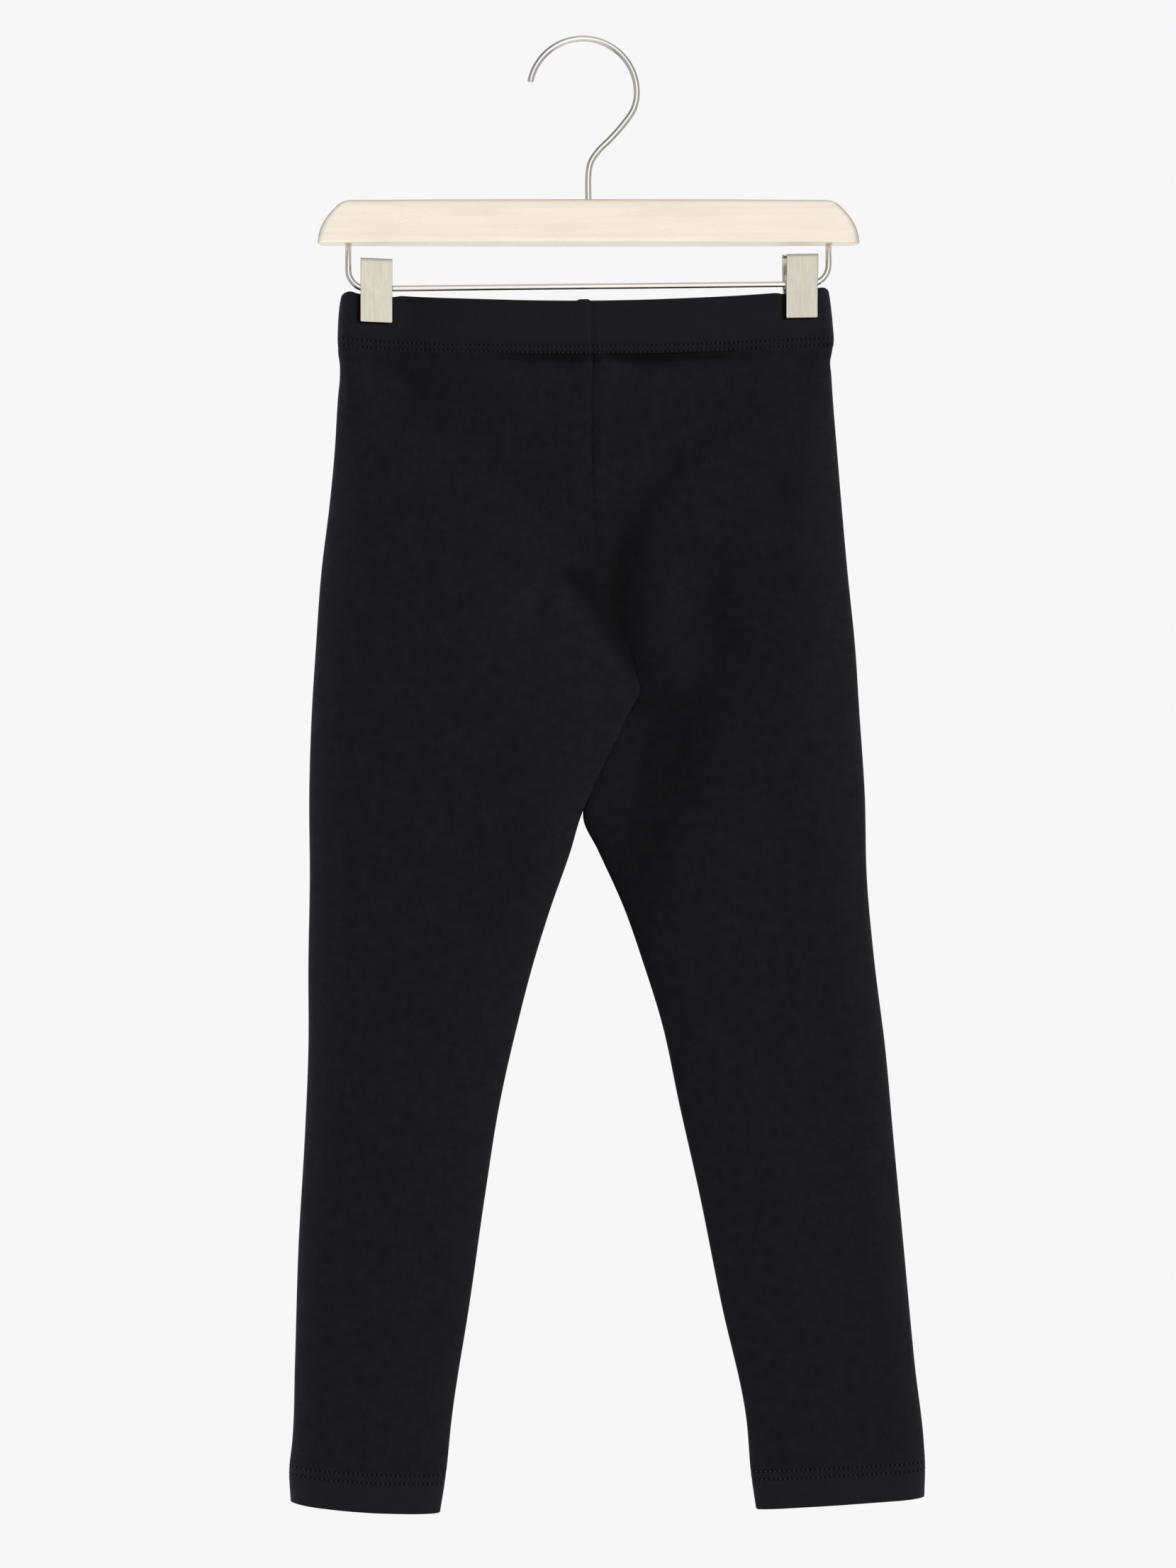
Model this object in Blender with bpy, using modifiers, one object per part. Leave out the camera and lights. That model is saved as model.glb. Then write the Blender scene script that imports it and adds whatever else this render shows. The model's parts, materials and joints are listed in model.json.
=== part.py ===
"""Child's jersey leggings hung on a wooden clip hanger.

Units are metres, +Z is up and the garment's front faces -Y. The origin is the underside of the hook's
crown, where a rail or peg carries the hanger. A drop is a distance straight down from that origin.
"""
import math

import bpy
import numpy as np

# Driving sizes of the hanger
HANGER_X = 0.0030
HOOK_WIRE = 0.0035
HOOK_RADIUS = 0.0298
HOOK_TIP_ANGLE = math.radians(168)
HOOK_ARC_END = math.radians(-8)
BAR_LENGTH = 0.300
BAR_HEIGHT = 0.0239
BAR_TOP_DROP = 0.0883
BAR_MIDDLE_DEPTH = 0.0140
BAR_END_DEPTH = 0.0100
BAR_END_SLANT = 0.0140
BAR_END_CURVE = 2.2
BAR_END_ROUND = 0.0040
BAR_EDGE_ROUND = 0.0025
ROD_WIRE = 0.0034
ROD_DROP = 0.1355
ROD_SLOPE = 0.0105
ROD_UPRIGHT = 0.1330
ROD_BEND = 0.0105
CLIP_PLACE = 0.1175
CLIP_WIDTH = 0.0175
CLIP_TOP_DROP = 0.1197
CLIP_FOOT_DROP = 0.1548
CLIP_YAW = math.radians(5.5)
CLIP_SHEET = 0.0010
EAR_TOP = 0.0050
EAR_RIM = 0.0006
EAR_REACH = 0.0033
EAR_BORE = 0.00215
LEVER_SPREAD = 0.0022
LIP = 0.0024
SPRING_SHEET = 0.0006
SPRING_WIDTH = 0.0070
CLEARANCE = 0.0003

# Driving sizes of the leggings
JERSEY = 0.0012
HEM_WALL = 0.0018
BAND_WALL = 0.0024
BAND_TOP_DROP = 0.13735
BAND_FOOT_DROP = 0.1725
BAND_HALF_DEPTH = 0.0062
CLIPPED_HALF_DEPTH = 0.00335
WAIST_SAG = 0.0069
WAIST_TILT = 0.00065
WAIST_CENTRE_X = 0.0013
WAIST_HALF_WIDTH = 0.1372
CROTCH_DROP = 0.3569
CROTCH_ARC = 0.0450
HEM_DROP = 0.8117
HEM_DEPTH = 0.0205
FOLD_RADIUS = 0.0020
SEAM_GAP = 0.0003
CORNER_RADIUS = 0.0060
CORNER_DROP = 0.0040
CLIP_DIP = 0.0010
CLIP_DIP_RUN = 0.0060

# Where the clips' pinch of the waist begins beside the middle and fades out below them
PINCH_START = 0.0720
PINCH_RUN = 0.0360
PINCH_FADE = 0.1100
SAG_FADE = 0.1000
YAW_REACH = 0.0260

# The left leg laps in front of the right one below the crotch
LAP_SHIFT = 0.0029
LAP_START = 0.0160
LAP_END_DROP = 0.4200
LAP_FADE = 0.0900
LAP_WIDTH = 0.0500

# Waistband side edges: drop, left edge, right edge
BAND_EDGE_ROWS = (
    (0.1370, -0.1340, 0.1364),
    (0.1430, -0.1347, 0.1371),
    (0.1570, -0.1357, 0.1385),
    (0.1670, -0.1358, 0.1390),
    (0.1725, -0.1353, 0.1381),
)

# Outer side edges of the legs: drop, left edge, right edge, half depth
SIDE_ROWS = (
    (0.1728, -0.1346, 0.1370, 0.0062),
    (0.1967, -0.1357, 0.1380, 0.0069),
    (0.2281, -0.1376, 0.1408, 0.0075),
    (0.2595, -0.1408, 0.1435, 0.0080),
    (0.2909, -0.1447, 0.1463, 0.0083),
    (0.3380, -0.1482, 0.1510, 0.0084),
    (0.3695, -0.1502, 0.1530, 0.0082),
    (0.4166, -0.1517, 0.1561, 0.0079),
    (0.4637, -0.1514, 0.1573, 0.0076),
    (0.5108, -0.1522, 0.1616, 0.0073),
    (0.5579, -0.1522, 0.1675, 0.0071),
    (0.6051, -0.1541, 0.1718, 0.0069),
    (0.6679, -0.1577, 0.1777, 0.0066),
    (0.7307, -0.1596, 0.1836, 0.0062),
    (0.7779, -0.1612, 0.1887, 0.0059),
    (0.7936, -0.1628, 0.1895, 0.0058),
    (0.8117, -0.1620, 0.1891, 0.0057),
)

# Rise seam from the waistband to the crotch: drop, place
RISE_ROWS = (
    (0.1728, 0.0053),
    (0.2450, 0.0053),
    (0.2700, 0.0065),
    (0.2909, 0.0108),
    (0.3145, 0.0179),
    (0.3380, 0.0261),
    (0.3569, 0.0320),
)

# Inseam edges from the crotch to the hem: drop, left leg, right leg
INSEAM_ROWS = (
    (0.3569, 0.0320, 0.0320),
    (0.3640, 0.0290, 0.0289),
    (0.3700, 0.0262, 0.0252),
    (0.3780, 0.0225, 0.0196),
    (0.4000, 0.0120, 0.0091),
    (0.4180, 0.0036, 0.0012),
    (0.4300, -0.0012, -0.0003),
    (0.4480, -0.0065, 0.0065),
    (0.4794, -0.0175, 0.0222),
    (0.5108, -0.0273, 0.0332),
    (0.5422, -0.0355, 0.0430),
    (0.5894, -0.0461, 0.0532),
    (0.6365, -0.0536, 0.0638),
    (0.6993, -0.0626, 0.0764),
    (0.7622, -0.0725, 0.0901),
    (0.7936, -0.0760, 0.0929),
    (0.8117, -0.0790, 0.0956),
)

# Hem corners: drop at the outer edge, drop at the inseam
LEFT_HEM = (0.8085, 0.8148)
RIGHT_HEM = (0.8058, 0.8124)
HEM_TILT_START = 0.7300

# Folds of the front: start x, start drop, end x, end drop, half width, depth (a ridge is negative)
FRONT_FOLDS = (
    (-0.034, 0.1815, 0.085, 0.1815, 0.007, 0.0010),
    (0.128, 0.183, 0.070, 0.230, 0.013, 0.0017),
    (0.070, 0.230, 0.032, 0.266, 0.013, 0.0013),
    (-0.096, 0.185, -0.066, 0.198, 0.011, 0.0008),
    (-0.066, 0.198, -0.030, 0.262, 0.013, 0.0011),
    (0.015, 0.272, 0.024, 0.322, 0.011, 0.0021),
    (-0.025, 0.315, 0.004, 0.302, 0.007, 0.0008),
    (0.047, 0.342, 0.060, 0.330, 0.010, -0.0008),
    (0.066, 0.343, 0.038, 0.411, 0.013, 0.0010),
    (0.118, 0.197, 0.120, 0.428, 0.014, -0.0010),
    (-0.070, 0.480, -0.100, 0.560, 0.020, 0.0008),
    (0.080, 0.520, 0.120, 0.600, 0.022, 0.0009),
)

# Folds of the back, in the same columns
BACK_FOLDS = (
    (-0.080, 0.1815, 0.040, 0.1815, 0.008, 0.0010),
    (-0.120, 0.186, -0.062, 0.236, 0.014, 0.0016),
    (-0.062, 0.236, -0.018, 0.286, 0.013, 0.0012),
    (0.098, 0.190, 0.044, 0.260, 0.014, 0.0013),
    (0.026, 0.280, 0.034, 0.328, 0.012, 0.0018),
    (-0.060, 0.350, -0.036, 0.420, 0.014, 0.0014),
    (0.084, 0.360, 0.050, 0.440, 0.014, 0.0012),
    (-0.112, 0.500, -0.086, 0.590, 0.020, 0.0009),
    (0.104, 0.560, 0.132, 0.640, 0.022, 0.0008),
)

# Waistband section: share of the height from its foot, share of the wall from its outer face
BAND_SECTION = (
    (0.00, 0.20),
    (0.05, 0.00),
    (0.35, 0.00),
    (0.66, 0.00),
    (0.94, 0.00),
    (0.985, 0.15),
    (1.00, 0.50),
    (0.985, 0.85),
    (0.94, 1.00),
    (0.66, 1.00),
    (0.35, 1.00),
    (0.05, 1.00),
    (0.00, 0.80),
)

# Rows of the legs: turns of the arc above the crotch, and steps down from the crotch
CROTCH_TURNS = (70, 52, 36, 21, 0)
THIGH_STEPS = (0.005, 0.010, 0.016, 0.024, 0.034, 0.046, 0.060, 0.075)
HIP_ROW_COUNT = 8
SHIN_START_DROP = 0.4520
SHIN_ROW_COUNT = 14
HEM_STEP = 0.0010

# Points along one face of each flattened tube
BAND_HALF_COUNT = 32
LEG_HALF_COUNT = 16
BAR_HALF_COUNT = 18


def new_collection(name):
    collection = bpy.data.collections.new(name)
    bpy.context.scene.collection.children.link(collection)
    return collection


def principled(name, colour, roughness, metallic):
    """Plain material with one colour, given as linear red, green and blue."""
    material = bpy.data.materials.new(name)
    material.use_nodes = True
    shader = material.node_tree.nodes["Principled BSDF"]
    shader.inputs["Base Color"].default_value = (*colour, 1.0)
    shader.inputs["Roughness"].default_value = roughness
    shader.inputs["Metallic"].default_value = metallic
    material.diffuse_color = (*colour, 1.0)
    return material


def add_mesh(name, points, faces, material, place=(0.0, 0.0, 0.0)):
    mesh = bpy.data.meshes.new(name)
    mesh.from_pydata([tuple(point) for point in points], [], [tuple(face) for face in faces])
    mesh.update()
    mesh.materials.append(material)
    part = bpy.data.objects.new(name, mesh)
    part.location = place
    PARTS.objects.link(part)
    return part


def smooth_curve(at, table, column):
    """Cubic through a table's rows: each row's slope comes from its two neighbours."""
    rows = np.array(table)
    knots = rows[:, 0]
    values = rows[:, column]
    slopes = np.gradient(values, knots)
    at = np.clip(at, knots[0], knots[-1])
    k = np.clip(np.searchsorted(knots, at) - 1, 0, len(knots) - 2)
    span = knots[k + 1] - knots[k]
    t = (at - knots[k]) / span
    start = (1 + 2 * t) * (1 - t) ** 2 * values[k] + t * (1 - t) ** 2 * span * slopes[k]
    end = t * t * (3 - 2 * t) * values[k + 1] + t * t * (t - 1) * span * slopes[k + 1]
    return start + end


def ease(t):
    """Smooth step from 0 to 1."""
    t = np.clip(t, 0.0, 1.0)
    return t * t * (3 - 2 * t)


def nose(distance, reach, closed=1.0):
    """Rounding of a folded edge: a quarter ellipse from 0 at the edge to 1 at its reach."""
    left = np.clip(1 - distance / reach, 0.0, 1.0)
    return np.sqrt(1 - closed * left * left)


def half_depth(x, drop):
    """Half of the garment's depth: the table's, less the pinch that the two clips give the waist."""
    depth = np.where(drop < BAND_FOOT_DROP, BAND_HALF_DEPTH, smooth_curve(drop, SIDE_ROWS, 3))
    pinch = 1 - CLIPPED_HALF_DEPTH / BAND_HALF_DEPTH
    near_clip = ease((np.abs(x - HANGER_X) - PINCH_START) / PINCH_RUN)
    below_clip = ease((drop - CLIP_FOOT_DROP) / PINCH_FADE)
    return depth * (1 - pinch * near_clip * (1 - below_clip))


def sag(x, drop):
    """How far the cloth hangs below a level line between the clips: a parabola and a slight tilt."""
    across = np.clip((x - WAIST_CENTRE_X) / WAIST_HALF_WIDTH, -1.0, 1.0)
    fade = np.clip(1 - (drop - BAND_TOP_DROP) / SAG_FADE, 0.0, 1.0) ** 1.3
    return (WAIST_SAG * (1 - across ** 2) - WAIST_TILT * across) * fade


def waist_turn(x, drop):
    """Y of the cloth's middle where each clip, turned a little about its upright, turns the waist."""
    total = np.zeros(np.broadcast(x, drop).shape)
    for side in (-1, 1):
        offset = x - HANGER_X - side * CLIP_PLACE
        total += math.tan(CLIP_YAW) * offset * np.exp(-((offset / YAW_REACH) ** 2))
    return total * (1 - ease((drop - CLIP_FOOT_DROP) / PINCH_FADE))


def fold_depth(x, drop, folds):
    """Sum of soft troughs: each is a bell curve of the distance to its line."""
    total = np.zeros(np.broadcast(x, drop).shape)
    for x0, drop0, x1, drop1, half_width, depth in folds:
        run_x = x1 - x0
        run_drop = drop1 - drop0
        along = ((x - x0) * run_x + (drop - drop0) * run_drop) / (run_x ** 2 + run_drop ** 2)
        along = np.clip(along, 0.0, 1.0)
        distance = np.hypot(x - x0 - along * run_x, drop - drop0 - along * run_drop)
        total += depth * np.exp(-((distance / half_width) ** 2))
    return total


def cloth_depth(x, drop, face, thickness, edges):
    """Y of a cloth wall: its half depth, less the folds, both fading out at the rounded edges."""
    full = half_depth(x, drop)
    folds = np.where(face < 0, fold_depth(x, drop, FRONT_FOLDS), fold_depth(x, drop, BACK_FOLDS))
    return face * (full - thickness - folds) * edges + waist_turn(x, drop)


def leg_rows():
    """Drops of the leg's rows: even on the hips, on an arc at the crotch, dense at its foot and the hem."""
    hips = np.linspace(SIDE_ROWS[0][0], CROTCH_DROP - CROTCH_ARC, HIP_ROW_COUNT)
    arc = CROTCH_DROP - CROTCH_ARC * (1 - np.cos(np.radians(CROTCH_TURNS)))
    thigh = CROTCH_DROP + np.array(THIGH_STEPS)
    hem_top = HEM_DROP - HEM_DEPTH
    shin = np.linspace(SHIN_START_DROP, hem_top - HEM_STEP, SHIN_ROW_COUNT)
    hem = np.array((hem_top + HEM_STEP, HEM_DROP - HEM_DEPTH / 2, HEM_DROP))
    return np.concatenate((hips, arc, thigh, shin, hem)), len(hips) + len(arc) - 1


def leg_surface(side, drops, thickness):
    """Points of one leg's wall, a row for each drop, round from the front seam to the back seam.

    Each row runs along x from the seam to the outer edge and back, with the y of a flattened tube.
    """
    drop = drops[:, None]
    thickness = thickness[:, None]
    share = (1 - np.cos(np.pi * np.linspace(0, 1, LEG_HALF_COUNT + 1))) / 2
    share = np.concatenate((share, share[-2::-1]))[None, :]
    face = np.where(np.arange(2 * LEG_HALF_COUNT + 1) < LEG_HALF_COUNT, -1.0, 1.0)[None, :]
    above = np.clip((CROTCH_DROP - drop) / CROTCH_ARC, 0.0, 1.0)
    closed = (1 - above) ** 2
    column = 1 if side < 0 else 2
    rise = smooth_curve(drop, RISE_ROWS, 1)
    inner = np.where(drop < CROTCH_DROP, rise, smooth_curve(drop, INSEAM_ROWS, column))
    inner = inner + side * (SEAM_GAP / 2 + closed * thickness)
    outer = smooth_curve(drop, SIDE_ROWS, column) - side * thickness
    x = inner + (outer - inner) * share
    reach = half_depth(x, drop) ** 2 / FOLD_RADIUS
    edges = nose(np.abs(outer - x), reach) * nose(np.abs(x - inner), reach, closed)
    y = cloth_depth(x, drop, face, thickness, edges)
    lapping = ease((drop - CROTCH_DROP) / LAP_START) * (1 - ease((drop - LAP_END_DROP) / LAP_FADE))
    y = y + side * LAP_SHIFT * lapping * (1 - ease(np.abs(x - inner) / LAP_WIDTH))
    outer_hem, inner_hem = LEFT_HEM if side < 0 else RIGHT_HEM
    tilt = inner_hem + (outer_hem - inner_hem) * share - HEM_DROP
    tilt = tilt * ease((drop - HEM_TILT_START) / (HEM_DROP - HEM_TILT_START))
    z = -(drop + sag(x, drop) + tilt)
    return np.stack((x, y, z), axis=-1)


def build_leg(name, side, material):
    """One cut panel: an open strip round the hip above the crotch and a closed tube below it."""
    drops, crotch_row = leg_rows()
    rows = len(drops)
    around = 2 * LEG_HALF_COUNT
    hem_share = ease((drops - (HEM_DROP - HEM_DEPTH)) / HEM_STEP)
    wall = JERSEY + (HEM_WALL - JERSEY) * hem_share
    outside = leg_surface(side, drops, np.zeros(rows))
    inside = leg_surface(side, drops, wall)
    points = []
    index = np.zeros((2, rows, around + 1), dtype=int)
    for layer, surface in enumerate((outside, inside)):
        for row in range(rows):
            for step in range(around + 1):
                if step == around and row >= crotch_row:
                    index[layer, row, step] = index[layer, row, 0]
                    continue
                index[layer, row, step] = len(points)
                points.append(surface[row, step])
    faces = []
    out, inn = index
    for row in range(rows - 1):
        for step in range(around):
            faces.append((out[row, step], out[row + 1, step], out[row + 1, step + 1], out[row, step + 1]))
            faces.append((inn[row, step], inn[row, step + 1], inn[row + 1, step + 1], inn[row + 1, step]))
    for step in range(around):
        faces.append((out[0, step], out[0, step + 1], inn[0, step + 1], inn[0, step]))
        faces.append((out[-1, step], inn[-1, step], inn[-1, step + 1], out[-1, step + 1]))
    for row in range(crotch_row):
        faces.append((out[row, 0], inn[row, 0], inn[row + 1, 0], out[row + 1, 0]))
        faces.append((out[row, -1], out[row + 1, -1], inn[row + 1, -1], inn[row, -1]))
    if side < 0:
        faces = [face[::-1] for face in faces]
    return add_mesh(name, points, faces, material)


def build_waistband(name, material):
    """Elastic casing: a rounded wall section carried round the flattened waist."""
    section = np.array(BAND_SECTION)
    height_share = section[:, 0][:, None]
    thickness = section[:, 1][:, None] * BAND_WALL
    drop = BAND_FOOT_DROP - height_share * (BAND_FOOT_DROP - BAND_TOP_DROP)
    across = -np.cos(np.pi * np.linspace(0, 1, BAND_HALF_COUNT + 1))
    across = np.concatenate((across, across[-2:0:-1]))[None, :]
    face = np.where(np.arange(2 * BAND_HALF_COUNT) <= BAND_HALF_COUNT, -1.0, 1.0)[None, :]
    left = smooth_curve(drop, BAND_EDGE_ROWS, 1) + thickness
    right = smooth_curve(drop, BAND_EDGE_ROWS, 2) - thickness
    x = (left + right) / 2 + (right - left) / 2 * across
    edge = np.minimum(x - left, right - x)
    edges = nose(edge, half_depth(x, drop) ** 2 / FOLD_RADIUS)
    y = cloth_depth(x, drop, face, thickness, edges)
    clip_distance = np.abs(np.abs(x - HANGER_X) - CLIP_PLACE) - CLIP_WIDTH / 2
    rim = CORNER_DROP * (1 - nose(edge, CORNER_RADIUS)) + CLIP_DIP * (1 - ease(clip_distance / CLIP_DIP_RUN))
    z = -(drop + sag(x, drop) + rim * height_share ** 4)
    around = 2 * BAND_HALF_COUNT
    rows = len(section)
    points = np.stack((x, y, z), axis=-1).reshape(-1, 3)
    faces = []
    for row in range(rows):
        for step in range(around):
            below = row * around
            above = (row + 1) % rows * around
            after = (step + 1) % around
            faces.append((below + step, below + after, above + after, above + step))
    return add_mesh(name, points, faces, material)


def build_bar(name, material):
    """Wooden bar: a stack of plan outlines, drawn in at the slanted ends and the rounded edges."""
    across = -np.cos(np.pi * np.linspace(0, 1, BAR_HALF_COUNT + 1))
    across = np.concatenate((across, across[-2:0:-1]))
    face = np.where(np.arange(2 * BAR_HALF_COUNT) <= BAR_HALF_COUNT, -1.0, 1.0)
    rounding = []
    for turn in np.radians((0, 45, 90)):
        rounding.append((BAR_EDGE_ROUND * (1 - math.cos(turn)), BAR_EDGE_ROUND * (1 - math.sin(turn))))
    levels = rounding + [(BAR_HEIGHT * share, 0.0) for share in (0.35, 0.60, 0.80)]
    levels += [(BAR_HEIGHT - rise, inset) for rise, inset in reversed(rounding)]
    points = []
    for rise, inset in levels:
        half_length = BAR_LENGTH / 2 - BAR_END_SLANT * (rise / BAR_HEIGHT) ** BAR_END_CURVE - inset
        x = half_length * across
        depth = BAR_END_DEPTH + (BAR_MIDDLE_DEPTH - BAR_END_DEPTH) * (1 - (x / (BAR_LENGTH / 2)) ** 2)
        y = face * (depth / 2 - inset) * nose(half_length - np.abs(x), BAR_END_ROUND)
        for px, py in zip(x, y):
            points.append((px, py, rise))
    around = 2 * BAR_HALF_COUNT
    faces = [tuple(range(around))[::-1]]
    for row in range(len(levels) - 1):
        for step in range(around):
            after = (step + 1) % around
            below = row * around
            above = below + around
            faces.append((below + step, below + after, above + after, above + step))
    faces.append(tuple(range((len(levels) - 1) * around, len(levels) * around)))
    return add_mesh(name, points, faces, material, (HANGER_X, 0.0, -BAR_TOP_DROP - BAR_HEIGHT))


def build_wire(name, path, diameter, material):
    """Round wire along a path of (x, z) points in the plane of the hanger."""
    curve = bpy.data.curves.new(name, "CURVE")
    curve.dimensions = "3D"
    curve.bevel_depth = diameter / 2
    curve.bevel_resolution = 2
    curve.use_fill_caps = True
    spline = curve.splines.new("POLY")
    spline.points.add(len(path) - 1)
    for point, (x, z) in zip(spline.points, path):
        point.co = (x, 0.0, z, 1.0)
    curve.materials.append(material)
    wire = bpy.data.objects.new(name, curve)
    PARTS.objects.link(wire)
    return wire


def smooth_path(points, steps):
    """Points of a rounded path through the given ones, each span cut into equal steps."""
    ends = [points[0], *points, points[-1]]
    path = []
    for k in range(1, len(ends) - 2):
        before, start, end, after = (np.array(point) for point in ends[k - 1:k + 3])
        for step in range(steps):
            t = step / steps
            bend = 2 * start + (end - before) * t + (2 * before - 5 * start + 4 * end - after) * t ** 2
            path.append((bend + (3 * start - before - 3 * end + after) * t ** 3) / 2)
    path.append(np.array(points[-1]))
    return path


def hook_path():
    """Round crown, then an S back to the middle of the bar."""
    centre_z = HOOK_WIRE / 2 - HOOK_RADIUS
    crown = []
    for turn in np.linspace(HOOK_TIP_ANGLE, HOOK_ARC_END, 22):
        crown.append((HOOK_RADIUS * math.cos(turn), centre_z + HOOK_RADIUS * math.sin(turn)))
    neck = [crown[-1], (0.0276, -0.0382), (0.0226, -0.0454), (0.0155, -0.0535), (0.0088, -0.0601)]
    neck += [(0.0042, -0.0671), (0.0029, -0.0753), (HANGER_X, CLEARANCE - BAR_TOP_DROP)]
    return crown[:-1] + smooth_path(neck, 3)


def rod_height(offset):
    """Z of the rod's centreline beside the hanger's middle: a slight slope, and a round bend at each end."""
    beyond = min(max(abs(offset) - ROD_UPRIGHT + ROD_BEND, 0.0), ROD_BEND)
    return ROD_SLOPE * offset - ROD_DROP + ROD_BEND - math.sqrt(ROD_BEND ** 2 - beyond ** 2)


def rod_path():
    """Two uprights under the bar's ends and a straight rod between two bends."""
    offsets = [ROD_BEND * (1 - math.cos(turn)) - ROD_UPRIGHT for turn in np.linspace(0, math.pi / 2, 7)]
    offsets += [-offset for offset in reversed(offsets)]
    bar_underside = -BAR_TOP_DROP - BAR_HEIGHT - CLEARANCE
    path = [(offset, rod_height(offset)) for offset in offsets]
    path = [(-ROD_UPRIGHT, bar_underside), *path, (ROD_UPRIGHT, bar_underside)]
    return [(HANGER_X + offset, z) for offset, z in path]


def add_helper_box(name, low, high, place_x, turn):
    """Box that a Boolean joins to a piece."""
    bpy.ops.mesh.primitive_cube_add(size=1.0)
    box = bpy.context.object
    box.name = name
    box.location = (place_x, 0.0, 0.0)
    box.rotation_euler = (0.0, 0.0, turn)
    middle = [(a + b) / 2 for a, b in zip(low, high)]
    size = [b - a for a, b in zip(low, high)]
    for vertex in box.data.vertices:
        vertex.co = [centre + extent * value for centre, extent, value in zip(middle, size, vertex.co)]
    stow_helper(box)
    return box


def add_helper_bore(name, place_x, height, radius, length):
    """Cylinder along X that a Boolean cuts from a piece."""
    bpy.ops.mesh.primitive_cylinder_add(vertices=24, radius=radius, depth=length)
    bore = bpy.context.object
    bore.name = name
    bore.location = (place_x, 0.0, height)
    bore.rotation_euler = (0.0, math.pi / 2, 0.0)
    stow_helper(bore)
    return bore


def stow_helper(helper):
    for collection in list(helper.users_collection):
        collection.objects.unlink(helper)
    CUTTERS.objects.link(helper)
    helper.hide_render = True
    helper.display_type = "WIRE"


def add_boolean(part, helper, operation):
    cut = part.modifiers.new(helper.name, "BOOLEAN")
    cut.operation = operation
    cut.solver = "EXACT"
    cut.object = helper


def build_strip(name, profile, place_x, width, sheet, material):
    """Strip of bent sheet: an open (y, z) profile carried across its width, then given its wall."""
    points = []
    faces = []
    for y, z in profile:
        points.append((-width / 2, y, z))
        points.append((width / 2, y, z))
    for k in range(len(profile) - 1):
        faces.append((2 * k, 2 * k + 1, 2 * k + 3, 2 * k + 2))
    strip = add_mesh(name, points, faces, material, (place_x, 0.0, 0.0))
    strip.rotation_euler = (0.0, 0.0, CLIP_YAW)
    wall = strip.modifiers.new("sheet", "SOLIDIFY")
    wall.thickness = sheet
    wall.offset = 0.0
    wall.use_even_offset = True
    return strip


def build_clip(side_name, side):
    """Sheet metal clip: two plates with ears round the rod, and a leaf spring that spreads their levers."""
    place_x = HANGER_X + side * CLIP_PLACE
    rod_z = rod_height(side * CLIP_PLACE)
    top = rod_z + ROD_DROP - CLIP_TOP_DROP
    foot = rod_z + ROD_DROP - CLIP_FOOT_DROP
    jaw = CLIPPED_HALF_DEPTH + CLEARANCE + CLIP_SHEET / 2
    plate = [
        (jaw, foot),
        (jaw, rod_z - 0.0038),
        (jaw + 0.0006, rod_z + 0.0017),
        (jaw + LEVER_SPREAD, top - LIP),
        (jaw + LEVER_SPREAD - 0.1 * LIP, top - 0.4 * LIP),
        (jaw + LEVER_SPREAD - 0.5 * LIP, top - 0.2 * LIP),
        (jaw + LEVER_SPREAD - LIP, top - 0.25 * LIP),
    ]
    for plate_name, face, ear_offset in (
        ("front", -1, CLIP_WIDTH / 2 - CLIP_SHEET / 2),
        ("back", 1, CLIP_WIDTH / 2 - 1.5 * CLIP_SHEET - CLEARANCE),
    ):
        name = "clip_" + side_name + "_" + plate_name
        profile = [(face * y, z) for y, z in plate]
        if face > 0:
            profile.reverse()
        part = build_strip(name, profile, place_x, CLIP_WIDTH, CLIP_SHEET, CLIP_FINISH)
        for ear in (-1, 1):
            ends = sorted((face * jaw, -face * EAR_REACH))
            ear_x = place_x + ear * ear_offset * math.cos(CLIP_YAW)
            bore_z = rod_height(ear_x - HANGER_X)
            low = (ear * ear_offset - CLIP_SHEET / 2, ends[0], bore_z - EAR_BORE - EAR_RIM)
            high = (ear * ear_offset + CLIP_SHEET / 2, ends[1], rod_z + EAR_TOP)
            add_boolean(part, add_helper_box(name + "_ear", low, high, place_x, CLIP_YAW), "UNION")
            bore = add_helper_bore(name + "_bore", ear_x, bore_z, EAR_BORE, 2 * CLIP_SHEET)
            add_boolean(part, bore, "DIFFERENCE")
    seat = ROD_WIRE / 2 + CLEARANCE + SPRING_SHEET / 2
    arm = [(0.0048, 0.0110), (0.0042, 0.0072), (0.0030, 0.0043), (0.0012, seat)]
    bow = [(-y, rod_z + rise) for y, rise in arm] + [(y, rod_z + rise) for y, rise in reversed(arm)]
    name = "clip_" + side_name + "_spring"
    build_strip(name, bow, place_x, SPRING_WIDTH, SPRING_SHEET, WIRE_FINISH)


# Empty scene
for old in list(bpy.data.objects):
    bpy.data.objects.remove(old, do_unlink=True)

PARTS = new_collection("leggings_on_hanger")
CUTTERS = new_collection("cutters")

JERSEY_CLOTH = principled("black_cotton_jersey", (0.009, 0.009, 0.011), 0.85, 0.0)
BIRCH = principled("clear_lacquered_birch", (0.80, 0.66, 0.48), 0.45, 0.0)
WIRE_FINISH = principled("nickel_plated_wire", (0.60, 0.58, 0.54), 0.30, 1.0)
CLIP_FINISH = principled("nickel_plated_sheet", (0.58, 0.56, 0.47), 0.38, 1.0)

build_waistband("waistband", JERSEY_CLOTH)
build_leg("leg_left", -1, JERSEY_CLOTH)
build_leg("leg_right", 1, JERSEY_CLOTH)
build_bar("hanger_bar", BIRCH)
build_wire("hanger_hook", hook_path(), HOOK_WIRE, WIRE_FINISH)
build_wire("clip_rod", rod_path(), ROD_WIRE, WIRE_FINISH)
build_clip("left", -1)
build_clip("right", 1)

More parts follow.
